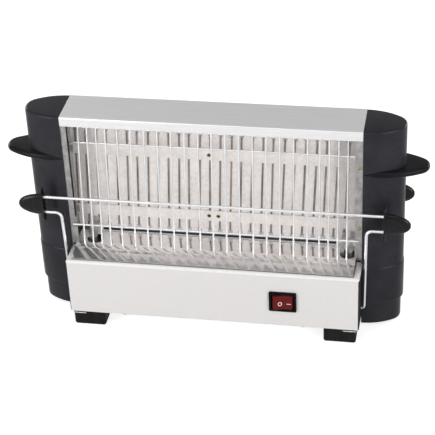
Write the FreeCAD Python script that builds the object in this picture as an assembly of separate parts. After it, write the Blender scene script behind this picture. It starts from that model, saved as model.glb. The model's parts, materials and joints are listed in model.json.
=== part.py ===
import FreeCAD, Part
import math
import os

# Vertical toaster: a wound mica element stands on a polished plate over a sheet metal base.
# A leaning wire grid guards each face of it, and a swinging wire bail holds bread to each grid.
# Millimetres, +Z up, +X to the right, front towards -Y, origin on the floor under the middle.

V = FreeCAD.Vector
X_AXIS = V(1, 0, 0)
Y_AXIS = V(0, 1, 0)
Z_AXIS = V(0, 0, 1)

# Gap between fitted sheets, how far cutters run past a surface, and a tolerance for picking edges
SEAM = 0.1
OVERRUN = 1.0
WALL_CUT = 10.0
NEAR = 0.01

# Body between the end caps
BODY_LENGTH = 290.0
BODY_DEPTH = 46.0
BODY_TOP = 224.3
COVER_SHEET = 0.8
COVER_LIP = 9.5
COVER_CORNER = 1.6

# Base box
BASE_DEPTH = 104.0
BASE_TOP = 78.3
BASE_WALL = 0.6
BASE_CORNER = 4.0
BASE_FLANGE = 8.0
RIM_THICK = 3.4
RIM_BEVEL = 1.1
FLOOR_SHEET = 0.8
FOOT_HEIGHT = 17.2
FOOT_LENGTH = 32.0
FOOT_DEPTH = 22.0
FOOT_END_INSET = 3.1
FOOT_FRONT_INSET = 1.1
FOOT_BEVEL = 1.6
FOOT_RECESS_GAP = 1.0
VENT_LENGTH = 22.0
VENT_WIDTH = 3.0
VENT_PITCH = 30.0
VENT_ROWS = 2
VENTS_PER_ROW = 7
VENT_ROW_GAP = 30.0

# Polished plate
PLATE_ABOVE_BASE = 6.2
PLATE_SHEET = 0.8
PLATE_ROLL = 14.0
PLATE_END_INSET = 5.5
PLATE_SKIRT = 15.5
CARD_SLOT_END_INSET = 27.0
CARD_SLOT_WIDTH = 4.0
LOCATING_SLOT_LENGTH = 11.0
LOCATING_SLOT_WIDTH = 2.5
LOCATING_SLOT_Y = -17.6
TAB_HOLE_DIAMETER = 16.0
TAB_HOLE_Y = -18.6

# Plan of the oval pieces: nose radius against that of a true ellipse
OVAL_NOSE = 1.15

# Flat sides of the sections of small round things, which repeat many times
WIRE_SIDES = 6
SMALL_SIDES = 6
PIVOT_HOLE_SIDES = 8
MITRED = 1
BUSHING_SIDES = 16
TAB_HOLE_SIDES = 24
PIN_SIDES = 8

# End frames
FRAME_SHEET = 0.8
FRAME_FLANGE = 7.0
FRAME_RISE = 12.8
FRAME_FLANGE_TUCK = 4.0

# End caps with their carrying handles
CAP_REACH = 39.1
CAP_WALL = 2.6
CAP_BOTTOM = 3.25
CAP_TOP_BEVEL = 1.8
CAP_BOTTOM_BEVEL = 1.2
BAND_RISE = 11.2
BAND_DROP = 6.8
BAND_SWELL = 0.7
SKIRT_INSET = 1.5
CAP_BOSS_DIAMETER = 7.0
HANDLE_DROP = 46.1
HANDLE_THICK = 6.5
HANDLE_CENTRE_OUT = 13.0
HANDLE_REACH = 48.5
HANDLE_BEVEL = 1.9
UPPER_CAP_SCREW_DROP = 15.3
LOWER_CAP_SCREW_RISE = 32.8

# Mica card and its winding
CARD_END_INSET = 3.0
CARD_THICK = 1.0
CARD_ABOVE_PLATE = 3.0
CARD_TOP_DROP = 21.3
NOTCH_WIDTH = 5.0
NOTCH_DEPTH = 5.0
WINDING_PITCH = 11.3
WINDING_RIGHT_INSET = 20.05
WINDING_LEFT_ROOM = 8.0
RIBBON_WIDTH = 1.6
RIBBON_THICK = 0.5
RIBBON_GAP = 0.2
RIBBON_UPRIGHT = 1.5
WINDING_END_GAP = 0.3
STRIP_END_INSET = 1.5
STRIP_THICK = 0.8
STRIP_GAP = 0.05
UPPER_STRIP_DROP = 30.0
UPPER_STRIP_HEIGHT = 11.3
LOWER_STRIP_RISE = 15.3
LOWER_STRIP_HEIGHT = 11.6
LEFT_EYELET_STEP = 3.0
RIGHT_EYELET_STEP = 6.2
EYELET_BARREL = 2.2
EYELET_BORE = 1.1
EYELET_HEAD = 4.2
EYELET_HEAD_HEIGHT = 0.6
RIGHT_TAB_STEPS = (8.55, 0.55)
LEFT_TAB_STEPS = (13.05, 8.85)
RIGHT_TAB_HOLE_STEP = 6.25
LEFT_TAB_HOLE_STEP = 13.15
TAB_WIDTH = 3.8
TAB_SHEET = 0.5
TAB_RIVET_RISE = 9.0
TAB_RISE = 3.0
TAB_RIVET_HEAD = 3.0
TAB_RIVET_BARREL = 1.6
TAB_KNEE_RISE = 2.0
TAB_DROP = 14.5
CLIP_SHEET = 0.6
CLIP_ARM = 4.2
CLIP_HEIGHT = 8.0

# Wire grids
GRID_WIRE = 1.8
CROSS_WIRE = 2.0
INNER_WIRE_PITCH = 13.14
OUTER_WIRE_PITCH = 8.93
OUTER_WIRES_EACH_SIDE = 4
OUTER_WIRE_INSET = 14.4
WIRE_GROUP_GAP = 9.0
GRID_LEAN = math.radians(6.42)
GRID_TOP_LEAN = math.radians(11.5)
GRID_BEND_DROP = 20.8
GRID_TOP_DROP = 3.3
GRID_FOOT_BELOW_PLATE = 2.6
LOWER_CROSS_RISE = 18.7
UPPER_CROSS_DROP = 32.3
LOWER_CROSS_INSET = 3.0
UPPER_CROSS_INSET = 0.3
WELD_GAP = 0.02
WIRE_HOLE_GAP = 0.25

# Wire bails and their grips
BAIL_WIRE = 3.0
PIVOT_Y = 29.0
PIVOT_RISE = 11.8
PIVOT_HOLE_GAP = 0.1
BAIL_HOOK_INSIDE = 5.5
LEG_FOOT_OUT = 3.5
LEG_TOP_OUT = 5.0
LEG_HEIGHT = 93.0
HOOK_BEND = 2.8
SHOULDER_BEND = 6.0
LOOP_HEIGHT = 17.7
LOOP_OUT = 31.0
FRONT_BAIL_LEAN = math.radians(2.0)
BAIL_STOP_GAP = 0.3
GRIP_GUARD_OUT = 21.3
GRIP_GUARD_THICK = 2.0
GRIP_GUARD_HEIGHT = 38.5
GRIP_GUARD_DEPTH = 9.4
GRIP_GUARD_BEVEL = 3.0
GRIP_LENGTH = 23.6
GRIP_HEIGHT = 24.0
GRIP_THICK = 8.0
GRIP_BEVEL = 1.6
GRIP_SLOT_GAP = 0.05

# Rocker switch
SWITCH_END_INSET = 74.0
SWITCH_RISE = 29.5
BEZEL_LENGTH = 27.0
BEZEL_HEIGHT = 22.5
BEZEL_THICK = 1.8
BEZEL_ROUND = 1.5
SWITCH_BODY_LENGTH = 24.4
SWITCH_BODY_HEIGHT = 19.8
SWITCH_BODY_DEPTH = 20.0
SWITCH_POCKET_DEPTH = 4.2
ROCKER_LENGTH = 21.0
ROCKER_HEIGHT = 15.9
ROCKER_SIDE_GAP = 0.85
ROCKER_END_GAP = 0.3
ROCKER_THROW = math.radians(8.0)
ROCKER_PIVOT_INSIDE = 1.6
ROCKER_FACE_OUT = 4.6
ROCKER_DISH = 1.2
ROCKER_EDGE = 3.6
ROCKER_BACK_RISE = 1.0
ROCKER_HUB = 2.4
ROCKER_PIN = 2.4
ROCKER_PIN_LENGTH = 1.2
ROCKER_PIN_GAP = 0.05
BLADE_WIDTH = 4.8
BLADE_THICK = 0.8
BLADE_LENGTH = 8.0
BLADE_SPACING = 7.5

# Wiring space in the base
BLOCK_LENGTH = 30.0
BLOCK_DEPTH = 16.0
BLOCK_HEIGHT = 14.0
BLOCK_X = 30.0
BLOCK_REAR_INSET = 24.0
BLOCK_BEVEL = 2.0
LEAD_DIAMETER = 2.6
TAB_LEAD_DROP = 30.0
TAB_LEAD_TURN = 14.0
BLADE_LEAD_STRAIGHT = 10.0
BLOCK_LEAD_REACH = 5.0
LEAD_STEP = 4.0
BUSHING_END_INSET = 45.0
BUSHING_RISE = 18.8
BUSHING_HEAD = 14.0
BUSHING_HEAD_THICK = 4.4
BUSHING_BEVEL = 1.3
BUSHING_BARREL = 9.6
BUSHING_BORE = 6.6
BUSHING_INSIDE = 6.0

# Screws
SCREW_HEAD_HEIGHT = 1.6
FRAME_SCREW_HEAD = 3.8
FRAME_SCREW_SHANK = 2.2
FRAME_SCREW_LENGTH = 4.0
FRAME_SCREW_INSET = 3.2
LOWER_FRAME_SCREW_RISE = 32.5
UPPER_FRAME_SCREW_DROP = 38.7
CAP_SCREW_HEAD = 6.0
CAP_SCREW_SHANK = 3.0
CAP_SCREW_LENGTH = 14.0
FOOT_SCREW_HEAD = 6.0
FOOT_SCREW_SHANK = 3.0
FOOT_SCREW_RECESS = 9.0
FOOT_SCREW_TIP = 2.0
FLOOR_SCREW_END_INSET = 55.0
FLOOR_SCREW_LENGTH = 5.0
SHANK_GAP = 0.05

# Places worked out from the sizes above
HALF_BODY = BODY_LENGTH / 2
HALF_DEPTH = BODY_DEPTH / 2
BASE_HALF_X = HALF_BODY + BASE_WALL
BASE_HALF_Y = BASE_DEPTH / 2
BASE_FLOOR = FOOT_HEIGHT + BASE_WALL
PLATE_TOP = BASE_TOP + PLATE_ABOVE_BASE
PLATE_HALF = HALF_BODY - PLATE_END_INSET
FRAME_BOTTOM = FOOT_HEIGHT + FRAME_RISE
BAND_BOTTOM = FOOT_HEIGHT + BAND_RISE
BAND_TOP = BASE_TOP - BAND_DROP
HANDLE_HEIGHT = BODY_TOP - HANDLE_DROP
CAP_SCREW_HEIGHTS = (BODY_TOP - UPPER_CAP_SCREW_DROP, FOOT_HEIGHT + LOWER_CAP_SCREW_RISE)
FRAME_SCREW_HEIGHTS = (PLATE_TOP + LOWER_FRAME_SCREW_RISE, BODY_TOP - UPPER_FRAME_SCREW_DROP)
CARD_HALF = HALF_BODY - CARD_END_INSET
CARD_BOTTOM = PLATE_TOP + CARD_ABOVE_PLATE
CARD_TOP = BODY_TOP - CARD_TOP_DROP
STRIP_HALF = HALF_BODY - STRIP_END_INSET
UPPER_STRIP_BOTTOM = CARD_TOP - UPPER_STRIP_DROP
LOWER_STRIP_BOTTOM = CARD_BOTTOM + LOWER_STRIP_RISE
WINDING_FIRST_X = HALF_BODY - WINDING_RIGHT_INSET
WINDING_LOOPS = int((BODY_LENGTH - WINDING_RIGHT_INSET - WINDING_LEFT_ROOM) / WINDING_PITCH) + 1
WINDING_LAST_X = WINDING_FIRST_X - (WINDING_LOOPS - 1) * WINDING_PITCH
WINDING_MIDDLE_X = WINDING_FIRST_X - (WINDING_LOOPS // 2 - 0.5) * WINDING_PITCH
UPPER_STRIP_MIDDLE = UPPER_STRIP_BOTTOM + UPPER_STRIP_HEIGHT / 2
LOWER_STRIP_MIDDLE = LOWER_STRIP_BOTTOM + LOWER_STRIP_HEIGHT / 2
EYELET_SPOTS = (
    (WINDING_MIDDLE_X, UPPER_STRIP_MIDDLE),
    (WINDING_MIDDLE_X - LEFT_EYELET_STEP, LOWER_STRIP_MIDDLE),
    (WINDING_MIDDLE_X + RIGHT_EYELET_STEP, LOWER_STRIP_MIDDLE),
)
TAB_SPOTS = [WINDING_FIRST_X + step for step in RIGHT_TAB_STEPS]
TAB_SPOTS += [WINDING_LAST_X + step for step in LEFT_TAB_STEPS]
TAB_HOLE_PLACES = (WINDING_FIRST_X + RIGHT_TAB_HOLE_STEP, WINDING_LAST_X + LEFT_TAB_HOLE_STEP)
TAB_RIVET_Z = CARD_BOTTOM + TAB_RIVET_RISE
TAB_BOTTOM = PLATE_TOP - TAB_DROP
GRID_BEND_Z = BODY_TOP - GRID_BEND_DROP
GRID_TOP = BODY_TOP - GRID_TOP_DROP
LOWER_CROSS_Z = PLATE_TOP + LOWER_CROSS_RISE
UPPER_CROSS_Z = BODY_TOP - UPPER_CROSS_DROP
PIVOT_Z = FOOT_HEIGHT + PIVOT_RISE
LOOP_STRAIGHT_END = HALF_BODY + LOOP_OUT
GRIP_GUARD_X = HALF_BODY + GRIP_GUARD_OUT
SWITCH_X = HALF_BODY - SWITCH_END_INSET
SWITCH_Z = FOOT_HEIGHT + SWITCH_RISE
BUSHING_X = HALF_BODY - BUSHING_END_INSET
BUSHING_Z = FOOT_HEIGHT + BUSHING_RISE
FLOOR_SCREW_X = HALF_BODY - FLOOR_SCREW_END_INSET
BLOCK_Y = BASE_HALF_Y - BLOCK_REAR_INSET
FLANGE_FACE = HALF_DEPTH - COVER_SHEET - SEAM
FRAME_TOP = BODY_TOP - COVER_SHEET - SEAM
WEB_INNER = HALF_BODY - FRAME_SHEET
ROLL_END_Y = BASE_HALF_Y - RIM_THICK - SEAM
COVER_UNDERSIDE = BODY_TOP - COVER_LIP
LOWER_CROSS_Y = -(FLANGE_FACE + CROSS_WIRE / 2 + SEAM / 2)
WELD_STEP = (GRID_WIRE + CROSS_WIRE) / 2 * math.cos(math.pi / WIRE_SIDES) + WELD_GAP
LOWER_WELD_Y = LOWER_CROSS_Y - WELD_STEP
UPPER_HOOK = LEG_HEIGHT + LOOP_HEIGHT
STRIP_FACE = CARD_THICK / 2 + RIBBON_GAP + RIBBON_THICK + STRIP_GAP
WINDING_RADIUS = CARD_THICK / 2 + RIBBON_GAP + RIBBON_THICK / 2
TURN_BOTTOM_Z = CARD_BOTTOM + NOTCH_DEPTH
TURN_TOP_Z = CARD_TOP - NOTCH_DEPTH
FOOT_X = BASE_HALF_X - FOOT_END_INSET - FOOT_LENGTH / 2
FOOT_Y = BASE_HALF_Y - FOOT_FRONT_INSET - FOOT_DEPTH / 2
FLOOR_SCREW_Y = BASE_HALF_Y - BASE_FLANGE / 2


def grid_y(z):
    """Middle of the leaning part of the front grid's upright wires at a height."""
    return LOWER_WELD_Y + (z - LOWER_CROSS_Z) * math.tan(GRID_LEAN)


def block(x0, x1, y0, y1, z0, z1):
    """Box between two corners."""
    return Part.makeBox(x1 - x0, y1 - y0, z1 - z0, V(x0, y0, z0))


def rod(start, axis, diameter, length):
    """Round bar from a point along an axis."""
    return Part.makeCylinder(diameter / 2, length, start, axis)


def small_rod(start, axis, diameter, length, sides=SMALL_SIDES):
    """Bar with a section of few flat sides, its corners on the circle of the diameter."""
    return Part.Face(section_ring(start, axis, diameter, sides)).extrude(axis * length)


def section_ring(start, axis, diameter, sides):
    """Closed ring of flat sides round an axis."""
    across = X_AXIS if abs(axis.x) < 0.5 else Z_AXIS
    out = axis.cross(across).normalize() * (diameter / 2)
    side = axis.cross(out)
    corners = []
    for k in range(sides + 1):
        angle = (k + 0.5) * 2 * math.pi / sides
        corners.append(start + out * math.cos(angle) + side * math.sin(angle))
    return Part.makePolygon(corners[:-1] + corners[:1])


def slab(half_x, half_y, corner, z0, z1):
    """Flat plate with rounded upright corners, centred on the origin."""
    quarter = math.sqrt(0.5) * corner
    edges = []
    corners = ((1, -1), (1, 1), (-1, 1), (-1, -1))
    starts = []
    ends = []
    for sx, sy in corners:
        cx = sx * (half_x - corner)
        cy = sy * (half_y - corner)
        beside = V(cx, sy * half_y, z0)
        across = V(sx * half_x, cy, z0)
        first, last = (beside, across) if sx * sy < 0 else (across, beside)
        middle = V(cx + sx * quarter, cy + sy * quarter, z0)
        edges.append(Part.Arc(first, middle, last).toShape())
        starts.append(first)
        ends.append(last)
    for i in range(4):
        edges.append(Part.LineSegment(ends[i], starts[(i + 1) % 4]).toShape())
    outline = Part.Wire(Part.__sortEdges__(edges))
    return Part.Face(outline).extrude(V(0, 0, z1 - z0))


def half_oval(centre_x, reach, half_y, z0, z1):
    """Half of an oval column, flat on the side towards the middle: two side arcs and a nose arc."""
    nose = OVAL_NOSE * half_y ** 2 / reach
    nose_x = reach - nose
    side = (nose_x ** 2 + half_y ** 2 - nose ** 2) / (2 * (half_y - nose))
    lean = math.atan2(nose_x, side - half_y)

    def spot(x, y):
        return V(centre_x + x, y, z0)

    def on_side(angle, front):
        return spot(side * math.sin(angle), front * (half_y - side + side * math.cos(angle)))

    edges = []
    for front in (-1, 1):
        side_arc = Part.Arc(spot(0, front * half_y), on_side(lean / 2, front), on_side(lean, front))
        edges.append(side_arc.toShape())
    edges.append(Part.Arc(on_side(lean, -1), spot(reach, 0), on_side(lean, 1)).toShape())
    edges.append(Part.LineSegment(spot(0, half_y), spot(0, -half_y)).toShape())
    return Part.Face(Part.Wire(Part.__sortEdges__(edges))).extrude(V(0, 0, z1 - z0))


def is_along(edge, axis):
    """Whether a straight edge runs along an axis."""
    return abs(edge.tangentAt(edge.FirstParameter).dot(axis)) > 1 - NEAR


def turned(shape):
    """Copy turned half a turn about the upright axis: right to left and front to rear."""
    copy = shape.copy()
    copy.rotate(V(0, 0, 0), Z_AXIS, 180)
    return copy


def both_ends(shape):
    return [shape, turned(shape)]


def sprung_arc(before, corner, after, radius):
    """Arc that rounds a corner: its first, middle and last points."""
    back = (before - corner).normalize()
    ahead = (after - corner).normalize()
    half = back.getAngle(ahead) / 2
    reach = radius / math.tan(half)
    inward = (back + ahead).normalize()
    middle = corner + inward * (radius / math.sin(half) - radius)
    return corner + back * reach, middle, corner + ahead * reach


def rounded_path(points, radii):
    """Straight runs through the points, with an arc at each inner point."""
    edges = []
    last = points[0]
    for i in range(1, len(points) - 1):
        first, middle, end = sprung_arc(points[i - 1], points[i], points[i + 1], radii[i - 1])
        edges.append(Part.LineSegment(last, first).toShape())
        edges.append(Part.Arc(first, middle, end).toShape())
        last = end
    edges.append(Part.LineSegment(last, points[-1]).toShape())
    return Part.Wire(edges)


def wire_along(path, diameter):
    """Wire swept along a path, with flat sides and mitred where the path has a corner."""
    start = path.Edges[0].firstVertex().Point
    ahead = path.Edges[0].tangentAt(path.Edges[0].FirstParameter)
    return path.makePipeShell([section_ring(start, ahead, diameter, WIRE_SIDES)], True, False, MITRED)


def bent_strip(points, sheet, centre_x, width):
    """Sheet strip that follows points in the YZ plane, given as (y, z)."""
    left = []
    right = []
    for i in range(len(points)):
        y0, z0 = points[max(i - 1, 0)]
        y1, z1 = points[min(i + 1, len(points) - 1)]
        run = math.hypot(y1 - y0, z1 - z0)
        side_y = -(z1 - z0) / run * sheet / 2
        side_z = (y1 - y0) / run * sheet / 2
        y, z = points[i]
        left.append(V(centre_x - width / 2, y + side_y, z + side_z))
        right.append(V(centre_x - width / 2, y - side_y, z - side_z))
    outline = Part.makePolygon(left + right[::-1] + left[:1])
    return Part.Face(outline).extrude(V(width, 0, 0))


def screw(seat, axis, head, shank, length):
    """Screw: the head stands on the seat, the shank goes the other way."""
    top = small_rod(seat, axis, head, SCREW_HEAD_HEIGHT)
    return top.fuse(small_rod(seat - axis * length, axis, shank, length))


def save(node, solids):
    """Write one node, as one solid or as a group of separate ones."""
    shape = solids if isinstance(solids, Part.Shape) else Part.makeCompound(solids)
    shape.exportStep("parts/" + node + ".step")


def base_shell():
    """Open sheet box with a rolled rim at the top and a flange turned in at the bottom."""
    top = BASE_TOP
    outer = slab(BASE_HALF_X, BASE_HALF_Y, BASE_CORNER, FOOT_HEIGHT, top)
    inner_corner = BASE_CORNER - BASE_WALL
    inner = slab(BASE_HALF_X - BASE_WALL, BASE_HALF_Y - BASE_WALL, inner_corner, BASE_FLOOR, top + OVERRUN)
    open_x = BASE_HALF_X - BASE_FLANGE
    open_y = BASE_HALF_Y - BASE_FLANGE
    window = block(-open_x, open_x, -open_y, open_y, 0, BASE_FLOOR)
    box = outer.cut(inner).cut(window)
    rim = slab(BASE_HALF_X, BASE_HALF_Y, BASE_CORNER, top - RIM_THICK, top)
    rim_corner = BASE_CORNER - RIM_THICK
    bore = slab(BASE_HALF_X - RIM_THICK, BASE_HALF_Y - RIM_THICK, rim_corner, 0, top + OVERRUN)
    rim = rim.cut(bore)
    crest = [edge for edge in rim.Edges if edge.BoundBox.ZMin > top - NEAR]
    rim = rim.makeChamfer(RIM_BEVEL, crest)
    box = box.fuse(rim)
    cuts = []
    frame_pass = FLANGE_FACE + SEAM
    for side in (-1, 1):
        x0, x1 = sorted((side * (BASE_HALF_X - RIM_THICK - OVERRUN), side * HALF_BODY))
        cuts.append(block(x0, x1, -frame_pass, frame_pass, BASE_TOP - RIM_THICK - OVERRUN,
                          BASE_TOP + OVERRUN))
        for front in (-1, 1):
            hole = (BAIL_WIRE + 2 * PIVOT_HOLE_GAP) / math.cos(math.pi / PIVOT_HOLE_SIDES)
            start = V(side * (HALF_BODY - WALL_CUT / 2), front * PIVOT_Y, PIVOT_Z)
            cuts.append(small_rod(start, X_AXIS * side, hole, WALL_CUT, PIVOT_HOLE_SIDES))
        cuts.append(small_rod(V(side * (HALF_BODY - WALL_CUT / 2), 0, CAP_SCREW_HEIGHTS[1]), X_AXIS * side,
                              CAP_SCREW_SHANK + 2 * SHANK_GAP, WALL_CUT))
    half_x = SWITCH_BODY_LENGTH / 2 + SEAM
    half_z = SWITCH_BODY_HEIGHT / 2 + SEAM
    cuts.append(block(SWITCH_X - half_x, SWITCH_X + half_x, -BASE_HALF_Y - OVERRUN,
                      -BASE_HALF_Y + BASE_WALL + OVERRUN, SWITCH_Z - half_z, SWITCH_Z + half_z))
    cuts.append(small_rod(V(BUSHING_X, BASE_HALF_Y - WALL_CUT / 2, BUSHING_Z), Y_AXIS,
                          BUSHING_BARREL + 2 * SHANK_GAP, WALL_CUT, BUSHING_SIDES))
    for x, y in floor_screw_spots():
        cuts.append(small_rod(V(x, y, 0), Z_AXIS, FOOT_SCREW_SHANK + 2 * SHANK_GAP, BASE_FLOOR + OVERRUN))
    return box.cut(Part.makeCompound(cuts)).removeSplitter()


def floor_screw_spots():
    """Places of the screws through the bottom flange."""
    return [(sx * FLOOR_SCREW_X, sy * FLOOR_SCREW_Y) for sx in (-1, 1) for sy in (-1, 1)]


def foot_spots():
    """Corners of the base as signs of X and Y."""
    return [(sx, sy) for sx in (-1, 1) for sy in (-1, 1)]


def bottom_plate():
    """Floor of the base, on the turned-in flange, with two rows of vent slots."""
    clear = BASE_WALL + SEAM
    floor = slab(HALF_BODY - FRAME_SHEET - SEAM, BASE_HALF_Y - clear, BASE_CORNER - clear,
                 BASE_FLOOR, BASE_FLOOR + FLOOR_SHEET)
    cuts = []
    for row in range(VENT_ROWS):
        y = (row - (VENT_ROWS - 1) / 2) * VENT_ROW_GAP
        for i in range(VENTS_PER_ROW):
            x = (i - (VENTS_PER_ROW - 1) / 2) * VENT_PITCH
            cuts.append(block(x - VENT_LENGTH / 2, x + VENT_LENGTH / 2, y - VENT_WIDTH / 2,
                              y + VENT_WIDTH / 2, 0, BASE_FLOOR + FLOOR_SHEET + OVERRUN))
    holes = floor_screw_spots() + [(sx * FOOT_X, sy * FOOT_Y) for sx, sy in foot_spots()]
    for x, y in holes:
        cuts.append(small_rod(V(x, y, 0), Z_AXIS, FOOT_SCREW_SHANK + 2 * SHANK_GAP,
                              BASE_FLOOR + FLOOR_SHEET + OVERRUN))
    return floor.cut(Part.makeCompound(cuts))


def foot(sx, sy):
    """Moulded foot with bevelled edges and a recess for its screw."""
    half_x = FOOT_LENGTH / 2
    half_y = FOOT_DEPTH / 2
    body = block(-half_x, half_x, -half_y, half_y, 0, FOOT_HEIGHT)
    bevelled = [edge for edge in body.Edges if edge.BoundBox.ZMin < NEAR]
    body = body.makeChamfer(FOOT_BEVEL, bevelled)
    body.translate(V(sx * FOOT_X, sy * FOOT_Y, 0))
    centre = V(sx * FOOT_X, sy * FOOT_Y, 0)
    below = centre - Z_AXIS * OVERRUN
    body = body.cut(small_rod(below, Z_AXIS, FOOT_SCREW_HEAD + FOOT_RECESS_GAP, FOOT_SCREW_RECESS + OVERRUN))
    return body.cut(small_rod(centre, Z_AXIS, FOOT_SCREW_SHANK + 2 * SHANK_GAP, FOOT_HEIGHT + OVERRUN))


def polished_plate():
    """Plate over the base with its long edges rolled down inside the rim."""
    top = PLATE_TOP
    roll_y = ROLL_END_Y - PLATE_ROLL
    skirt_z = top - PLATE_SKIRT
    bow = math.sqrt(0.5)
    under = PLATE_ROLL - PLATE_SHEET
    x0 = -PLATE_HALF

    def spot(y, z):
        return V(x0, y, z)

    edges = [
        Part.LineSegment(spot(roll_y, top), spot(-roll_y, top)).toShape(),
        Part.Arc(spot(-roll_y, top), spot(-roll_y - PLATE_ROLL * bow, top - PLATE_ROLL * (1 - bow)),
                 spot(-ROLL_END_Y, top - PLATE_ROLL)).toShape(),
        Part.LineSegment(spot(-ROLL_END_Y, top - PLATE_ROLL), spot(-ROLL_END_Y, skirt_z)).toShape(),
        Part.LineSegment(spot(-ROLL_END_Y, skirt_z), spot(PLATE_SHEET - ROLL_END_Y, skirt_z)).toShape(),
        Part.LineSegment(spot(PLATE_SHEET - ROLL_END_Y, skirt_z),
                         spot(PLATE_SHEET - ROLL_END_Y, top - PLATE_ROLL)).toShape(),
        Part.Arc(spot(PLATE_SHEET - ROLL_END_Y, top - PLATE_ROLL),
                 spot(-roll_y - under * bow, top - PLATE_ROLL + under * bow),
                 spot(-roll_y, top - PLATE_SHEET)).toShape(),
        Part.LineSegment(spot(-roll_y, top - PLATE_SHEET), spot(roll_y, top - PLATE_SHEET)).toShape(),
        Part.Arc(spot(roll_y, top - PLATE_SHEET),
                 spot(roll_y + under * bow, top - PLATE_ROLL + under * bow),
                 spot(ROLL_END_Y - PLATE_SHEET, top - PLATE_ROLL)).toShape(),
        Part.LineSegment(spot(ROLL_END_Y - PLATE_SHEET, top - PLATE_ROLL),
                         spot(ROLL_END_Y - PLATE_SHEET, skirt_z)).toShape(),
        Part.LineSegment(spot(ROLL_END_Y - PLATE_SHEET, skirt_z), spot(ROLL_END_Y, skirt_z)).toShape(),
        Part.LineSegment(spot(ROLL_END_Y, skirt_z), spot(ROLL_END_Y, top - PLATE_ROLL)).toShape(),
        Part.Arc(spot(ROLL_END_Y, top - PLATE_ROLL),
                 spot(roll_y + PLATE_ROLL * bow, top - PLATE_ROLL * (1 - bow)),
                 spot(roll_y, top)).toShape(),
    ]
    plate = Part.Face(Part.Wire(edges)).extrude(V(2 * PLATE_HALF, 0, 0))
    low = top - PLATE_SHEET - OVERRUN
    high = top + OVERRUN
    cuts = []
    for half_x, half_y, y in ((HALF_BODY - CARD_SLOT_END_INSET, CARD_SLOT_WIDTH / 2, 0),
                              (LOCATING_SLOT_LENGTH / 2, LOCATING_SLOT_WIDTH / 2, LOCATING_SLOT_Y)):
        cuts.append(block(-half_x, half_x, y - half_y, y + half_y, low, high))
    for x in TAB_HOLE_PLACES:
        cuts.append(small_rod(V(x, TAB_HOLE_Y, low), Z_AXIS, TAB_HOLE_DIAMETER, high - low, TAB_HOLE_SIDES))
    foot_y = grid_y(top - PLATE_SHEET / 2)
    reach = GRID_WIRE / 2 + WIRE_HOLE_GAP
    for x in upright_places():
        for y in (foot_y, -foot_y):
            cuts.append(block(x - reach, x + reach, y - reach, y + reach, low, high))
    slot_in = HALF_BODY - FRAME_FLANGE - SEAM
    for side in (-1, 1):
        for front in (-1, 1):
            x0, x1 = sorted((side * slot_in, side * HALF_BODY))
            y0, y1 = sorted((front * (FLANGE_FACE - FRAME_SHEET - SEAM), front * (FLANGE_FACE + SEAM)))
            cuts.append(block(x0, x1, y0, y1, low, high))
    return plate.cut(Part.makeCompound(cuts))


def end_frame():
    """Right end channel: a web with two flanges, on the inside of the base's end wall."""
    web = block(WEB_INNER, HALF_BODY, -FLANGE_FACE, FLANGE_FACE, FRAME_BOTTOM, FRAME_TOP)
    pieces = []
    flange_bottom = PLATE_TOP - FRAME_FLANGE_TUCK
    for front in (-1, 1):
        y0, y1 = sorted((front * FLANGE_FACE, front * (FLANGE_FACE - FRAME_SHEET)))
        pieces.append(block(HALF_BODY - FRAME_FLANGE, HALF_BODY, y0, y1, flange_bottom, FRAME_TOP))
    frame = web.multiFuse(pieces).removeSplitter()
    cuts = []
    shoulder = FLANGE_FACE - COVER_CORNER
    for front in (-1, 1):
        y0, y1 = sorted((front * shoulder, front * HALF_DEPTH))
        cuts.append(block(0, HALF_BODY, y0, y1, FRAME_TOP - COVER_CORNER, BODY_TOP))
    for front in (-1, 1):
        cross_y = front * (grid_y(UPPER_CROSS_Z) + WELD_STEP)
        cuts.append(small_rod(V(WEB_INNER - OVERRUN, cross_y, UPPER_CROSS_Z), X_AXIS,
                              CROSS_WIRE + 2 * SEAM, FRAME_SHEET + 2 * OVERRUN))
    for z in CAP_SCREW_HEIGHTS:
        cuts.append(small_rod(V(WEB_INNER - OVERRUN, 0, z), X_AXIS, CAP_SCREW_SHANK + 2 * SHANK_GAP,
                              FRAME_SHEET + 2 * OVERRUN))
    for z in FRAME_SCREW_HEIGHTS:
        cuts.append(small_rod(V(HALF_BODY - FRAME_SCREW_INSET, -FLANGE_FACE - OVERRUN, z), Y_AXIS,
                              FRAME_SCREW_SHANK + 2 * SHANK_GAP, FRAME_SHEET + 2 * OVERRUN))
    return frame.cut(Part.makeCompound(cuts))


def frame_screws():
    """Brass screws in the right front flange and the left rear flange."""
    x = HALF_BODY - FRAME_SCREW_INSET
    pair = [screw(V(x, -FLANGE_FACE, z), -Y_AXIS, FRAME_SCREW_HEAD, FRAME_SCREW_SHANK, FRAME_SCREW_LENGTH)
            for z in FRAME_SCREW_HEIGHTS]
    return pair + [turned(one) for one in pair]


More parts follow.
